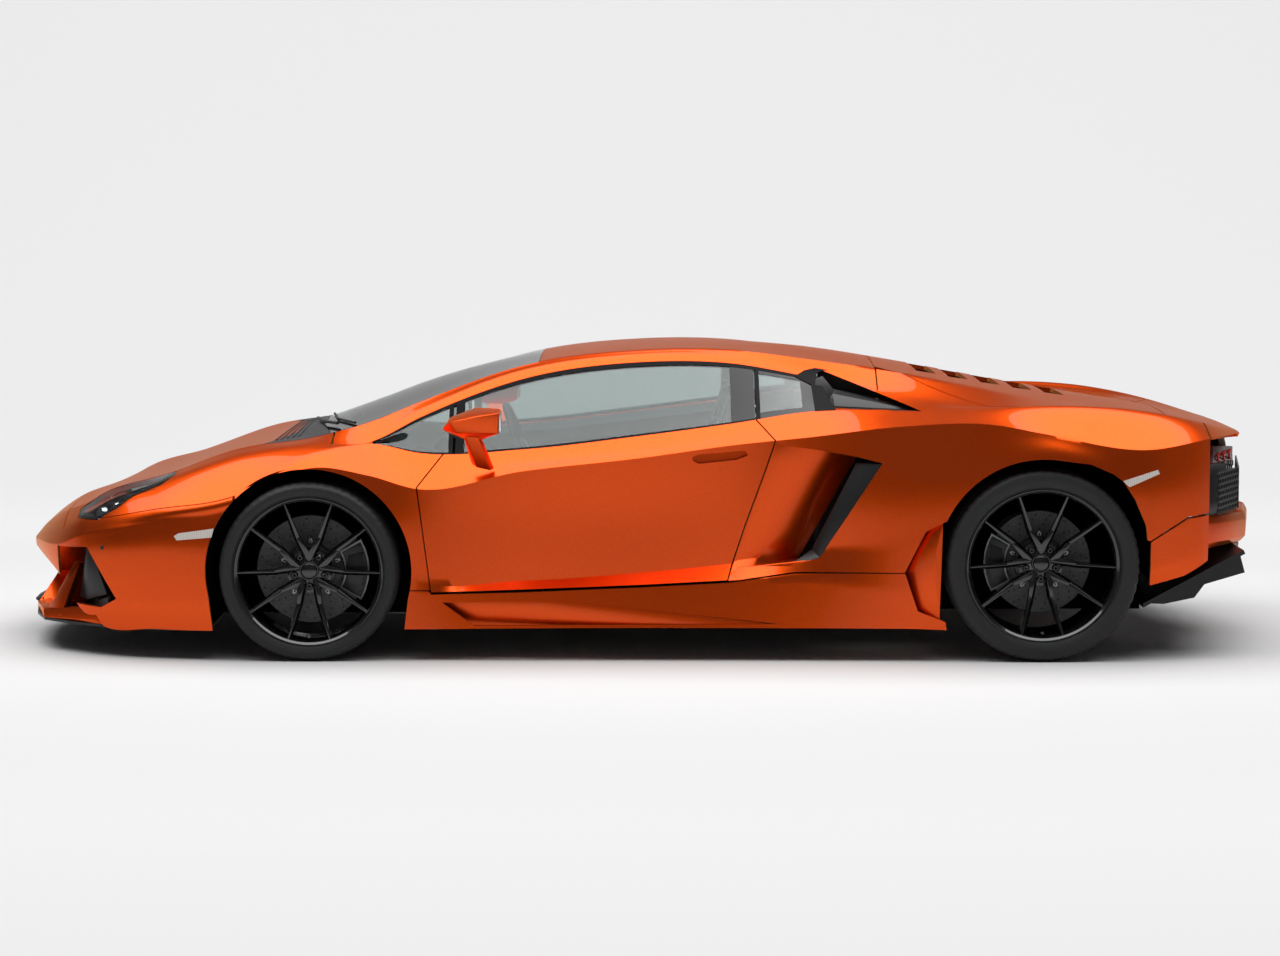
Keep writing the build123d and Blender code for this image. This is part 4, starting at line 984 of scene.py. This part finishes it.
def makeWindowFrames():
    down = lines(glassTop, glassFoot, 14)
    header = bodySkin("windowHeader", ramp(1005, glassEnd, 15), [2.004, 2.03, 2.06, 2.085], thickness=12,
                      sunk=1)
    # the black edge baked on the rear pane leaves its middle clear
    frit = bodySkin("rearPaneFrit", ramp(-424, glassEnd - 2, 12), lines(glassTop, glassFoot, 20),
                    thickness=1.5, sunk=1.6, keep=lambda x, v: not (-590 < x < -440 and 2.18 < v < 2.86))
    cut(frit, sideBlock(grown(ventOutline, gaps["seam"])))
    footBar = bodySkin("quarterLightBar", ramp(722, 706, 16), down, thickness=9, sunk=1)
    rearBar = bodySkin("rearPaneBar", ramp(-421, -437, 16), down, thickness=9, sunk=1)
    low = bodySkin("quarterLightFoot", ramp(1000, 712, 15), [2.95, 2.97, 3], thickness=9, sunk=1)
    finish(smooth(bothSides(frit)), bakedEnamel, "chassis", "satin_black_plastic")
    cheek = bodySkin("pillarCheek", ramp(-560, -760, 12), lines(1.4, 3, 14), thickness=3, sunk=-1.2)
    cut(cheek, sideBlock(pillarCheekOutline, 400), keepInside=True)
    trim = bothSides(joined("windowFrames", header, footBar, rearBar, low, cheek))
    finish(smooth(trim), frameRubber, "chassis", "satin_black_plastic")


for side in ("left", "right"):
    makeDoorGlass(side)
makeFixedGlass()
makeWindowFrames()
print("glass done")


# nose: undertray, keel and lip, air intakes with a black vane and four slats each
trayEdge = [(1600, 938), (1800, 903), (2020, 812), (2150, 712), (2262, 598), (2318, 420), (2346, 250)]


def makeNose():
    tray = planBlock([(x, -y) for x, y in trayEdge] + [(2362, 0)] + trayEdge[::-1], 109, 118)
    finish(joined("undertray", tray), satinBlack, "chassis", "satin_black_plastic")
    keelTop = acrossHull("keelTop", [(2330, 150, 350), (2170, 150, 350), (2288, 84, 240), (2170, 84, 240)], 3)
    keelFoot = acrossHull("keelFoot", [(2288, 84, 242), (2170, 84, 242), (2346, 232, 136), (2170, 232, 136),
                                       (2352, 226, 118), (2170, 226, 118)], 3)
    blades = hullPair("blade", [(2150, 566, 330), (2095, 590, 330), (2120, 640, 330), (2262, 585, 132),
                                (2178, 612, 132), (2190, 668, 132)], 3)
    edges = hullPair("lipEdge", [(2350, 232, 136), (2350, 232, 119), (2300, 232, 119), (2266, 592, 150),
                                 (2266, 596, 119), (2200, 600, 119), (2200, 590, 165), (2300, 235, 150)], 2)
    corners = hullPair("lipCorner", [
        (2266, 590, 150), (2266, 596, 119), (2140, 640, 119), (2020, 812, 119), (2040, 806, 132),
        (2030, 800, 186), (2014, 790, 184), (2180, 600, 160)], 2)
    lip = joined("noseLip", keelTop, keelFoot, *blades, *edges, *corners)
    finish(smooth(lip), paint, "chassis", "body_paint")


def makeIntakeTrim():
    vanes = hullPair("intakeVane", [
        (2088, 690, 398), (2066, 735, 398), (2030, 690, 395), (2040, 735, 230), (1975, 745, 214),
        (2000, 770, 226), (2120, 640, 200), (2085, 690, 196)], 2)
    backs = hullPair("intakeBack", [(x, y, z) for x in (1985, 2000) for y, z in (
        (250, 345), (690, 395), (742, 360), (748, 196), (600, 150), (240, 150))], 2)
    slats = []
    for level in (190, 235, 280, 325):
        slats += hullPair("intakeSlat", [
            (x, y, level + rise) for x, y, rise in (
                (2085, 250, 0), (2085, 250, 9), (2050, 690, 0), (2050, 690, 9),
                (2000, 250, 22), (2000, 250, 28), (2000, 690, 22), (2000, 690, 28))], 1)
    tip = acrossHull("splitterTip", [(2330, 225, 150), (2372, 150, 140), (2372, 150, 132), (2340, 225, 128),
                                     (2300, 0, 150), (2380, 0, 140), (2380, 0, 132)], 2)
    trim = joined("intakeTrim", *vanes, *backs, *slats, tip)
    finish(smooth(trim), satinBlack, "chassis", "satin_black_plastic")


makeNose()
makeIntakeTrim()


# headlamps: clear cover, black housing, three projector lenses and a bright light strip
headlamp = {"cover": 4, "tray": 6, "depth": 34, "lensDepth": 26, "aim": (0.9, 0.5, 0)}
lampLenses = ((2040, 2.35, 26), (1975, 2.3, 22), (1915, 2.3, 15))       # x, place across and radius
lampInside = [(2112, 526), (2070, 556), (2003, 619), (1758, 684), (1760, 672), (1804, 641), (1903, 601),
              (1958, 561), (2032, 514), (2112, 511)]


def aboveBody(x, v, height):        # the point so many millimetres above the body at x and v
    return bodyGrid([x], [v])[0, 0] + outwardGrid([x], [v])[0, 0] * height


def turnedTo(piece, direction):     # turns what faces along Y to another direction
    piece.data.transform(Vector((0, 1, 0)).rotation_difference(direction).to_matrix().to_4x4())
    return piece


def makeHeadlamps():
    along, down = ramp(2125, 1742, 12), lines(1.02, 3, 8)
    cover = bodySkin("lampCover", along, down, thickness=headlamp["cover"], sunk=1)
    cut(cover, sideBlock(headlampOutline, 400, 1000), keepInside=True)
    finish(smooth(bothSides(cover)), clearCover, "chassis", "lamp_lens", "headlamps")
    tray = bodySkin("lampTray", along, down, thickness=headlamp["tray"], sunk=headlamp["depth"])
    cut(tray, sideBlock(headlampOutline, 400, 1000), keepInside=True)
    wall = bodySkin("lampRim", along, down, thickness=headlamp["depth"], sunk=2)
    cut(wall, sideBlock(headlampOutline, 400, 1000), keepInside=True)
    cut(wall, sideBlock(lampInside, 380, 1020))
    finish(smooth(bothSides(joined("lampHousing", tray, wall))), satinBlack, "chassis", "satin_black_plastic")
    jewels = []
    for x, v, radius in lampLenses:
        lens = spun("projector", [
            (0, 16), (radius * 0.5, 14), (radius * 0.86, 8), (radius, 0), (radius * 1.15, 1),
            (radius * 1.22, -4), (radius * 1.2, -10), (0, -10)], steps=32)
        turnedTo(lens, (Vector(outwardGrid([x], [v])[0, 0]) + Vector(headlamp["aim"])).normalized())
        jewels.append(moved(lens, *aboveBody(x, v, -headlamp["lensDepth"])))
    strip = bodySkin("lightStrip", ramp(1990, 1790, 10), [2.52, 2.58, 2.64, 2.7], thickness=5, sunk=18)
    cut(strip, sideBlock(lampInside, 400, 1000), keepInside=True)
    finish(smooth(bothSides(joined("lampJewels", *jewels, strip))), lampChrome, "chassis", "lamp_lens")


makeHeadlamps()
print("nose done")


# side of the body: mirrors, intakes, recesses and marker lamps
def lineNumber(x, z):       # which place across the body is at height z on its side
    low, high = 2.5, float(lastLine)
    for _ in range(30):
        middle = (low + high) / 2
        if bodyGrid([x], [middle])[0, 0, 2] > z:
            low = middle
        else:
            high = middle
    return low


def onSide(x, z, sunk=0.0):     # the point of the left side at x and z, sunk some millimetres into the body
    return (x, bodyGrid([x], [lineNumber(x, z)])[0, 0, 1] - sunk, z)


def sidePoints(*places):        # the same for several places
    return [onSide(*spot) for spot in places]


def makeMirrors():
    pod = hullPiece("pod", [
        (737, 1000, 857), (702, 1010, 905), (702, 1085, 890), (612, 1002, 940), (520, 1000, 934),
        (520, 1124, 927), (602, 1122, 914), (526, 1002, 843), (528, 1108, 851), (592, 1007, 820),
        (655, 1003, 824), (680, 1060, 850)], 5, 3)
    stem = hullPiece("stem", [
        (658, 1010, 838), (590, 1010, 833), (602, 1038, 836), (650, 1033, 838),
        (630, 906, 724), (547, 906, 706), (561, 924, 701), (610, 924, 712)], 4, 3)
    glass = hullPiece("mirrorGlass", [(x, y, z) for x in (515, 521) for y, z in (
        (1008, 926), (1114, 920), (1012, 851), (1100, 858))], 1)
    for side in ("left", "right"):
        housing, pane = joined("mirrorHousing", copied(pod), copied(stem)), copied(glass)
        housing = joined("mirrorHousing_" + side, onItsSide(housing, side))
        pane = joined("mirrorGlass_" + side, onItsSide(pane, side))
        finish(smooth(housing), paint, "door_" + side, "body_paint", "mirror_" + side)
        finish(smooth(pane), lampChrome, "door_" + side, "lamp_lens")
    for piece in (pod, stem, glass):
        bpy.data.objects.remove(piece)


def sheetPiece(name, rows, thickness):      # a curved sheet through rows of points, thickened both ways
    wide = len(rows[0])
    faces = [(i * wide + j, i * wide + j + 1, (i + 1) * wide + j + 1, (i + 1) * wide + j)
             for i in range(len(rows) - 1) for j in range(wide - 1)]
    piece = meshObject(name, [point for row in rows for point in row], faces)
    outwards(piece)
    modify(piece, "SOLIDIFY", thickness=thickness * mm, offset=0)
    return outwards(piece)


# the painted ramp into each side intake: its outer edge lies on the body and its inner edge deep in the car
intakeRamp = {
    "share": (0, 0.35, 1), "outerX": (-326, -384, -493), "outerZ": (322, 500, 816),
    "innerX": (-575, -655, -800), "innerZ": (360, 500, 758), "innerY": 788, "hollow": 1.55, "thickness": 6,
}


def makeIntakeRamps():
    look = intakeRamp
    rows = []
    for share in ramp(0, 1, 1 / 12):
        outerX, outerZ, innerX, innerZ = [
            np.interp(share, look["share"], look[edge]) for edge in ("outerX", "outerZ", "innerX", "innerZ")]
        start, end = Vector(onSide(outerX, outerZ, 5)), Vector((innerX, look["innerY"], innerZ))
        row = []
        for t in ramp(0, 1, 1 / 16):
            point = start.lerp(end, t)
            point.y = start.y + (end.y - start.y) * t ** look["hollow"]
            row.append(tuple(point))
        rows.append(row)
    slope = sheetPiece("ramp", rows, look["thickness"])
    deep = look["innerY"]
    ledge = hullPiece("ledge", [(-575, deep, 362), (-575, deep, 350)] + sidePoints(
        (-339, 340, 4), (-537, 346, 3), (-655, 378, 3), (-339, 328, 8), (-537, 334, 8), (-655, 366, 8)), 2)
    brow = hullPiece("brow", [(-800, deep, 752), (-800, deep, 764)] + sidePoints(
        (-489, 806, 4), (-755, 768, 3), (-879, 737, 3), (-489, 818, 8), (-755, 780, 8), (-879, 749, 8)), 2)
    finish(smooth(bothSides(joined("intakeRamps", slope, ledge, brow)), 40), paint, "chassis", "body_paint")


def makeSideDucts():        # the black blade across each intake and the vent behind the side window
    def deeper(point, inwards):
        return (point[0] - 8, point[1] - inwards, point[2])

    outer = sidePoints((-877, 729, 2), (-652, 382, 2), (-540, 352, 4))
    inner = sidePoints((-784, 731, 24), (-718, 594, 26), (-624, 410, 26), (-541, 350, 12))
    face = outer[:2] + inner[:3]
    top = hullPiece("bladeTop", face + [deeper(point, 55) for point in face], 3)
    foot = hullPiece("bladeFoot", outer[1:] + inner[2:] + [deeper(outer[1], 55), deeper(outer[2], 35)], 2)
    backing = hullPiece("intakeBacking", [(x, y, z) for y in (735, 742) for x, z in (
        (-545, 350), (-640, 350), (-900, 700), (-895, 775), (-500, 800))], 1)
    vent = bodySkin("ventFloor", ramp(-640, -1045, 12), lines(2, 3, 14), thickness=8, sunk=34)
    cut(vent, sideBlock(ventOutline, 400, 1000), keepInside=True)
    rim = bodySkin("ventRim", ramp(-620, -1065, 12), lines(2, 3, 14), thickness=36, sunk=3)
    cut(rim, sideBlock(grown(ventOutline, 12), 400, 1000), keepInside=True)
    cut(rim, sideBlock(ventOutline, 380, 1020))
    # the wall behind the vent keeps daylight from the other side out of it
    wall = hullPiece("ventWall", [(x, y, z) for y in (470, 478) for x, z in (
        (-645, 1058), (-760, 1046), (-900, 1018), (-1040, 985), (-645, 880), (-1040, 880))], 1)
    fin = hullPiece("ventFin", [(-650, 600, 1022), (-676, 590, 1032), (-722, 620, 978), (-690, 640, 930),
                                (-664, 640, 930), (-700, 590, 985), (-640, 640, 935)], 2)
    wing = hullPiece("ventWing", [(-716, 700, 924), (-1010, 716, 912), (-712, 640, 968), (-730, 585, 975),
                                  (-1020, 640, 918), (-720, 610, 930)], 2)
    finish(smooth(bothSides(joined("sideDucts", top, foot, backing, vent, rim, wall, fin, wing))), satinBlack,
           "chassis", "satin_black_plastic", "side_ducts")


def makeRecesses():
    scoop = hullPiece("scoop", sidePoints(
        (-1030, 486, 44), (-945, 331, 44), (-998, 180, 44), (-1100, 515, 6), (-1076, 420, 5),
        (-1074, 300, 5), (-1090, 150, 8), (-1030, 486, 60), (-945, 331, 60), (-998, 180, 60),
        (-1076, 420, 30), (-1074, 300, 30), (-1090, 150, 30)), 1.5)
    trough = hullPiece("trough", sidePoints(
        (752, 222, 46), (628, 122, 46), (-500, 136, 2.5), (305, 232, 5), (752, 222, 62), (628, 122, 62),
        (-500, 136, 18), (305, 232, 20)), 1)
    finish(smooth(bothSides(joined("bodyRecesses", scoop, trough)), 30), paint, "chassis", "body_paint")


def makeMarkers():
    lamps = []
    for outline in (frontMarkerOutline, rearMarkerOutline):
        xs = [x for x, z in outline]
        lens = bodySkin("marker", ramp(max(xs) + 5, min(xs) - 5, 8), lines(3, 7, 20), thickness=8, sunk=-1.5)
        cut(lens, sideBlock(outline, 600), keepInside=True)
        lamps.append(lens)
    finish(smooth(bothSides(joined("markerLamps", *lamps))), markerLens, "chassis", "lamp_lens")
    x, y, z = onSide(1999, 412, -1)
    sensor = spun("parkingSensors", [(0, 1.5), (7, 1.5), (8.5, 0), (9, -6), (0, -6)], steps=24)
    finish(smooth(bothSides(moved(sensor, x, y, z))), satinBlack, "chassis", "satin_black_plastic")


makeMirrors()
makeIntakeRamps()
makeSideDucts()
makeRecesses()
makeMarkers()
print("sides done")


# cowl grille and wiper
wiper = {
    "arm": ((1265, 0.1), (1216, 0.5), (1150, 0.78)), "armHeight": 14, "armRadius": 6,
    "blade": ((1205, 0.05), (1165, 0.5), (1080, 0.9)), "bladeHeight": 7, "bladeRadius": 5,
}


def makeCowlTrim():
    pieces = []
    for shift in range(5):
        x = 1390 - shift * 22
        pieces.append(bodySkin("cowlSlat", [x, x - 6], lines(-0.8, 0.8, 10), thickness=7, sunk=-3))
    for bar, sides in (("arm", 12), ("blade", 10)):
        route = [aboveBody(x, v, wiper[bar + "Height"]) for x, v in wiper[bar]]
        for start, end in zip(route, route[1:]):
            pieces.append(rod(bar, wiper[bar + "Radius"], start, end, sides))
    finish(smooth(joined("cowlGrille", *pieces)), satinBlack, "chassis", "satin_black_plastic")


makeCowlTrim()


# tail: meshes, lamps, bumper bar, engine lid louvres
tailCorners = [(-2081, 866), (-2203, 590), (-2293, 0)]
tailMesh = {"radius": 13, "wire": 1.5, "across": 25.0, "up": 21.7, "rows": 7, "foot": 545, "back": 26}


def makeTailMesh():
    look = tailMesh
    near, far = look["radius"] - look["wire"], look["radius"] + look["wire"]
    cells = []
    for (x0, y0), (x1, y1) in zip(tailCorners, tailCorners[1:]):
        length = hypot(x1 - x0, y1 - y0)
        away = Vector((y1 - y0, x0 - x1, 0)).normalized()
        if away.x > 0:
            away = -away
        cell = turnedTo(turned(spun("cell", [(near, 3), (far, 3), (far, -3), (near, -3)], steps=6), 30), away)
        for row in range(look["rows"]):
            for k in range(int(length / look["across"]) - 1):
                share = (k + 0.6 + 0.5 * (row % 2)) * look["across"] / length
                cells.append(moved(
                    copied(cell), x0 + (x1 - x0) * share + away.x * look["back"] - 20, y0 + (y1 - y0) * share,
                    look["foot"] + row * look["up"]))
        bpy.data.objects.remove(cell)
    finish(smooth(bothSides(joined("tailMesh", *cells))), satinBlack, "chassis", "satin_black_plastic")


def makeTailLamps():
    lens = hullPiece("lens", [
        (-2083, 872, 718), (-2104, 874, 726), (-2083, 872, 788), (-2104, 874, 788),
        (-2203, 592, 702), (-2225, 594, 714), (-2203, 592, 763), (-2225, 594, 768)], 3)
    finish(smooth(bothSides(lens)), tailLens, "chassis", "tail_lamp_lens", "tail_lamps")
    bars = []
    middle = 740
    for share in (0.2, 0.48, 0.76):     # arrowheads of two bars each, their tips outwards
        x, y = -2106 - 120 * share, 872 - 280 * share
        for up in (1, -1):
            bars.append(hullPiece("bar", [(x + dx, y + dy, middle + up * dz) for dx, dy, dz in (
                (-2, 26, -4), (-2, 26, 4), (-16, -20, 12), (-16, -20, 20), (6, 26, -4), (0, -20, 20))], 1))
    finish(smooth(bothSides(joined("tailLightBars", *bars))), brakeRed, "chassis", "tail_lamp_lens")


def makeRearBumper():
    side = bodySkin("bumperEnd", ramp(-1855, -2088, 12), lines(4.5, 8, 8))
    cut(side, sideBlock([(-1864, 441), (-2000, 528), (-2100, 537), (-2100, 372), (-1990, 316), (-1864, 280)]),
        keepInside=True)
    cut(side, *arch("rear"))
    corners = [(-2085, 900, 528, 405), (-2290, 520, 510, 400), (-2386, 0, 500, 415)]    # x, y, top and foot
    bar = []
    for pair in zip(corners, corners[1:]):
        bar.append(hullPiece("bar", [
            (x + dx, y, z) for x, y, top, foot in pair
            for dx, z in ((0, top - 25), (0, foot + 20), (14, top), (20, foot), (75, top), (75, foot))], 4))
    bumper = bothSides(joined("rearBumperShell", side, *bar))
    finish(smooth(bumper), paint, "chassis", "body_paint", "rear_bumper")


louvres = {"count": 5, "front": -1040, "pitch": 125, "half": 300, "narrower": 14, "thickness": 9}


def makeLouvres():
    lid = bpy.data.objects["engineCoverPanel"]
    slats = []
    for k in range(louvres["count"]):
        x, half = louvres["front"] - k * louvres["pitch"], louvres["half"] - k * louvres["narrower"]
        cut(lid, planBlock(symmetricPlan([(x, 0), (x - 14, half), (x - 92, half - 26), (x - 78, 0)]), 800))
        frontZ, rearZ = bodyGrid([x, x - 90], [0])[:, 0, 2]
        slats.append(hullPiece("slat", [
            (px, side * y, z + drop) for side in (1, -1)
            for px, y, z in ((x + 6, half - 10, frontZ - 10), (x - 84, half - 30, rearZ - 46))
            for drop in (0, -louvres["thickness"])], 2))
    finish(smooth(joined("engineLouvres", *slats)), satinBlack, "engine_cover", "satin_black_plastic")


makeTailMesh()
makeTailLamps()
makeRearBumper()
makeLouvres()
print("tail done")


# cabin: two bucket seats, steering wheel, door cards and headlining, the tub
cabin = {
    "seatPlace": (60, 395), "fill": 0.9, "padSoftness": 34, "bolsterSoftness": 12,
    "wheelPlace": (455, 400, 742), "wheelTilt": -68, "wheelRadius": 178, "gripRadius": 14,
    "columnRadius": 21.5,
}
seatPads = {        # corners as x from the seat's place, half width and z
    "CabinCushion": [(-170, 200, 200), (318, 205, 200), (-170, 190, 275), (318, 205, 318), (335, 190, 290)],
    "CabinBackrest": [(-185, 160, 300), (-255, 175, 260), (-352, 165, 780), (-418, 160, 780),
                      (-215, 175, 420)],
    "Headrest": [(-342, 105, 800), (-418, 98, 800), (-388, 92, 950), (-442, 82, 950)],
}


def makeSeat(side):
    x, y = cabin["seatPlace"]
    if side == "right":
        y = -y

    def seatHull(name, corners, sides, *softening):
        return hullPiece(name, [(x + a, y + s * w, z) for a, w, z in corners for s in sides], *softening)

    for name, corners in seatPads.items():
        pad = seatHull(name + "_" + side, corners, (1, -1), cabin["padSoftness"], 5)
        modify(pad, "SUBSURF", levels=1, render_levels=1)
        finish(smooth(pad, 60), suede, "chassis", "black_leather")
    shell = []
    for s in (1, -1):
        shell.append(seatHull("bolster", [
            (-170, 198, 175), (325, 206, 178), (-170, 228, 172), (325, 236, 178), (-165, 208, 312),
            (-165, 226, 305), (300, 214, 345), (300, 230, 340)], (s,), cabin["bolsterSoftness"], 3))
        shell.append(seatHull("bolster", [
            (-160, 172, 300), (-250, 225, 255), (-165, 232, 420), (-195, 174, 420), (-335, 165, 780),
            (-420, 178, 790), (-340, 198, 790), (-262, 224, 260)], (s,), cabin["bolsterSoftness"], 3))
    shell.append(seatHull("shellBase", [(-175, 215, 172), (320, 225, 176), (-175, 210, 205), (318, 215, 208)],
                          (1, -1), 8))
    shell.append(seatHull("shellSpine", [
        (-262, 205, 255), (-238, 205, 255), (-432, 165, 795), (-410, 165, 795), (-452, 80, 962),
        (-440, 80, 962)], (1, -1), 6))
    joinedShell = joined("bucketShell_" + side, *shell)
    return finish(smooth(joinedShell, 45), leather, "chassis", "black_leather")


def makeSteeringWheel():
    bpy.ops.mesh.primitive_torus_add(
        major_segments=64, minor_segments=16, major_radius=cabin["wheelRadius"] * mm,
        minor_radius=cabin["gripRadius"] * mm)
    ring = place(bpy.context.active_object)
    hub = hullPiece("hub", [(s * a, b, c) for s in (1, -1) for a, b, c in (
        (48, -44, -16), (48, 44, -16), (40, -36, 17), (40, 36, 17))], 6, 3)
    spokes = [hullPiece("spoke", [(s * a, b, c) for a, b, c in (
        (40, -16, -8), (40, 16, -8), (40, -16, 8), (40, 16, 8), (170, -13, -6), (170, 13, -6), (170, -13, 6),
        (170, 13, 6))], 3) for s in (1, -1)]
    low = hullPiece("spoke", [(s * a, b, c) for s in (1, -1) for a, b, c in (
        (24, -36, -8), (24, -36, 8), (15, -168, -6), (15, -168, 6))], 3)
    column = rod("column", cabin["columnRadius"], (0, 0, -238), (0, 0, -12))
    wheel = turned(joined("steeringWheelRim", ring, hub, *spokes, low, column), 90, "Z")
    moved(turned(wheel, cabin["wheelTilt"]), *cabin["wheelPlace"])
    return finish(smooth(wheel, 40), leather, "steering_wheel", "black_leather", "steering_wheel")


trimSheets = {"step": 30, "thickness": 5, "sunk": 23}


def makeTrim():     # black door cards and headlining hide the painted metal from inside
    step, thickness, sunk = trimSheets["step"], trimSheets["thickness"], trimSheets["sunk"]
    for side in ("left", "right"):
        card = bodySkin("doorCard", ramp(690, -400, step), lines(2.985, 5.6, 6), thickness=46, sunk=24)
        card = joined("doorCard_" + side, onItsSide(card, side))
        finish(smooth(card), suede, "door_" + side, "black_leather")
    lining = bodySkin("headlining", ramp(380, glassEnd, step), lines(-1.96, 1.96, 8), thickness, sunk)
    pillars = bodySkin("pillarTrim", ramp(1130, 380, step), lines(1.04, 1.96, 8), thickness, sunk)
    finish(smooth(joined("headlining", lining, bothSides(pillars))), suede, "chassis", "black_leather")


intakeBay = [(-700, 330), (-600, 330), (-600, 800), (-700, 800)]


def makeTub():      # the moulded tub, opened where the side intakes pass
    tub = outwards(copied(bpy.data.objects["tub"], "moulded_tub"))
    cut(tub, *bothBlocks(intakeBay, 750, 1000))
    finish(tub, weave, "chassis", "composite_tub", "tub")


makeTrim()
makeTub()
for side in ("left", "right"):
    makeSeat(side)
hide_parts("seats")
makeSteeringWheel()
print("cabin done")


# the parts that keep their own solids get the finish they are made with
for node, material in {
    "dashboard": leather, "engine": castAlloy, "wishbones": castAlloy, "rear_uprights": castAlloy,
    "front_knuckle_left": castAlloy, "front_knuckle_right": castAlloy, "diffuser": satinBlack,
    "exhaust": exhaustSteel, "tail_panel": satinBlack,
}.items():
    coat(bpy.data.objects[node], material)


# studio: a pale paper floor that runs up into a wall, one broad overhead softbox and a weak fill
studio = {
    "floor": "#D5D5D5", "wall": "#F8F8F9", "air": "#F4F6F8", "world": 0.1,
    "clear": 1.4, "paper": 4.5, "glow": 0.8, "oval": (0.5, 1.0, 0.3),
    "reach": 40000, "front": 30000, "back": -9000, "rise": 9000, "bend": 3000,
    "softbox": 1120.0, "softboxSize": (13.0, 8.0), "softboxPlace": (0, 0.2, 6.5),
    "fill": 8.0, "fillSize": (9.0, 3.0), "fillPlace": (0, 12, 4.0), "fillAim": (0, 0, 0.6),
}


# plain paper near the car, where its shadow falls, which the camera sees lit up further off
def makeStudioPaper():
    material, tree, shader = newMaterial("studioPaper", studio["floor"], Roughness=0.9)
    ray = addNode(tree, "ShaderNodeLightPath")
    glow = addNode(tree, "ShaderNodeEmission", {"Color": linear(studio["wall"]), "Strength": 1.0})
    oval = addNode(tree, "ShaderNodeVectorMath", {0: objectPoint(tree), 1: studio["oval"]},
                   operation="MULTIPLY")
    away = addNode(tree, "ShaderNodeVectorMath", {0: oval.outputs[0]}, operation="LENGTH")
    level = addNode(tree, "ShaderNodeMapRange", {
        "Value": away.outputs["Value"], "From Min": studio["clear"], "From Max": studio["paper"],
        "To Min": 0.0, "To Max": studio["glow"]}, interpolation_type="SMOOTHSTEP")
    share = addNode(tree, "ShaderNodeMath", {0: ray.outputs["Is Camera Ray"], 1: level.outputs[0]},
                    operation="MULTIPLY")
    blend = addNode(tree, "ShaderNodeMixShader", {
        0: share.outputs[0], 1: shader.outputs[0], 2: glow.outputs[0]})
    tree.links.new(blend.outputs[0], tree.nodes["Material Output"].inputs["Surface"])
    return material


def makeSweep():        # the paper's side view, swept across
    back, bend = studio["back"], studio["bend"]
    curve = [(back + bend - bend * sin(radians(a)), bend - bend * cos(radians(a))) for a in range(10, 90, 10)]
    sweep = [(studio["front"], 0), (back + bend, 0)] + curve + [(back, bend), (back, studio["rise"])]
    count = len(sweep)
    points = [(x, y, z) for x in (-studio["reach"], studio["reach"]) for y, z in sweep]
    faces = [(k, k + 1, k + 1 + count, k + count) for k in range(count - 1)]
    floor = smooth(meshObject("studioFloor", points, faces), 60)
    floor.data.materials.append(makeStudioPaper())


def makeLight(name, energy, size, spot, aim):
    light = bpy.data.lights.new(name, "AREA")
    light.shape = "RECTANGLE"
    light.size, light.size_y = size
    light.energy = energy
    lamp = bpy.data.objects.new(name, light)
    bpy.context.collection.objects.link(lamp)
    lamp.location = spot
    lamp.rotation_euler = (Vector(aim) - Vector(spot)).to_track_quat("-Z", "Y").to_euler()


def makeAir():
    world = bpy.data.worlds.new("studioAir")
    bpy.context.scene.world = world
    world.use_nodes = True
    air = world.node_tree.nodes["Background"]
    air.inputs["Color"].default_value = linear(studio["air"])
    air.inputs["Strength"].default_value = studio["world"]


# camera: a long lens far off to the car's left, a little above the roof
view = {"lens": 97.96, "place": (0.0292, 13.688, 1.7595), "down": 4.86, "turn": -0.0844}


def makeCamera():
    camera = bpy.data.cameras.new("mainCamera")
    camera.lens = view["lens"]
    camera.sensor_width = 36
    viewer = bpy.data.objects.new("mainCamera", camera)
    bpy.context.collection.objects.link(viewer)
    viewer.location = view["place"]
    viewer.rotation_euler = (radians(90 - view["down"]), 0, radians(180 + view["turn"]))
    bpy.context.scene.camera = viewer


makeSweep()
makeAir()
makeLight("overheadSoftbox", studio["softbox"], studio["softboxSize"], studio["softboxPlace"], (0, 0, 0))
makeLight("frontFill", studio["fill"], studio["fillSize"], studio["fillPlace"], studio["fillAim"])
makeCamera()
bpy.context.scene.view_settings.view_transform = "Standard"
print("studio done")
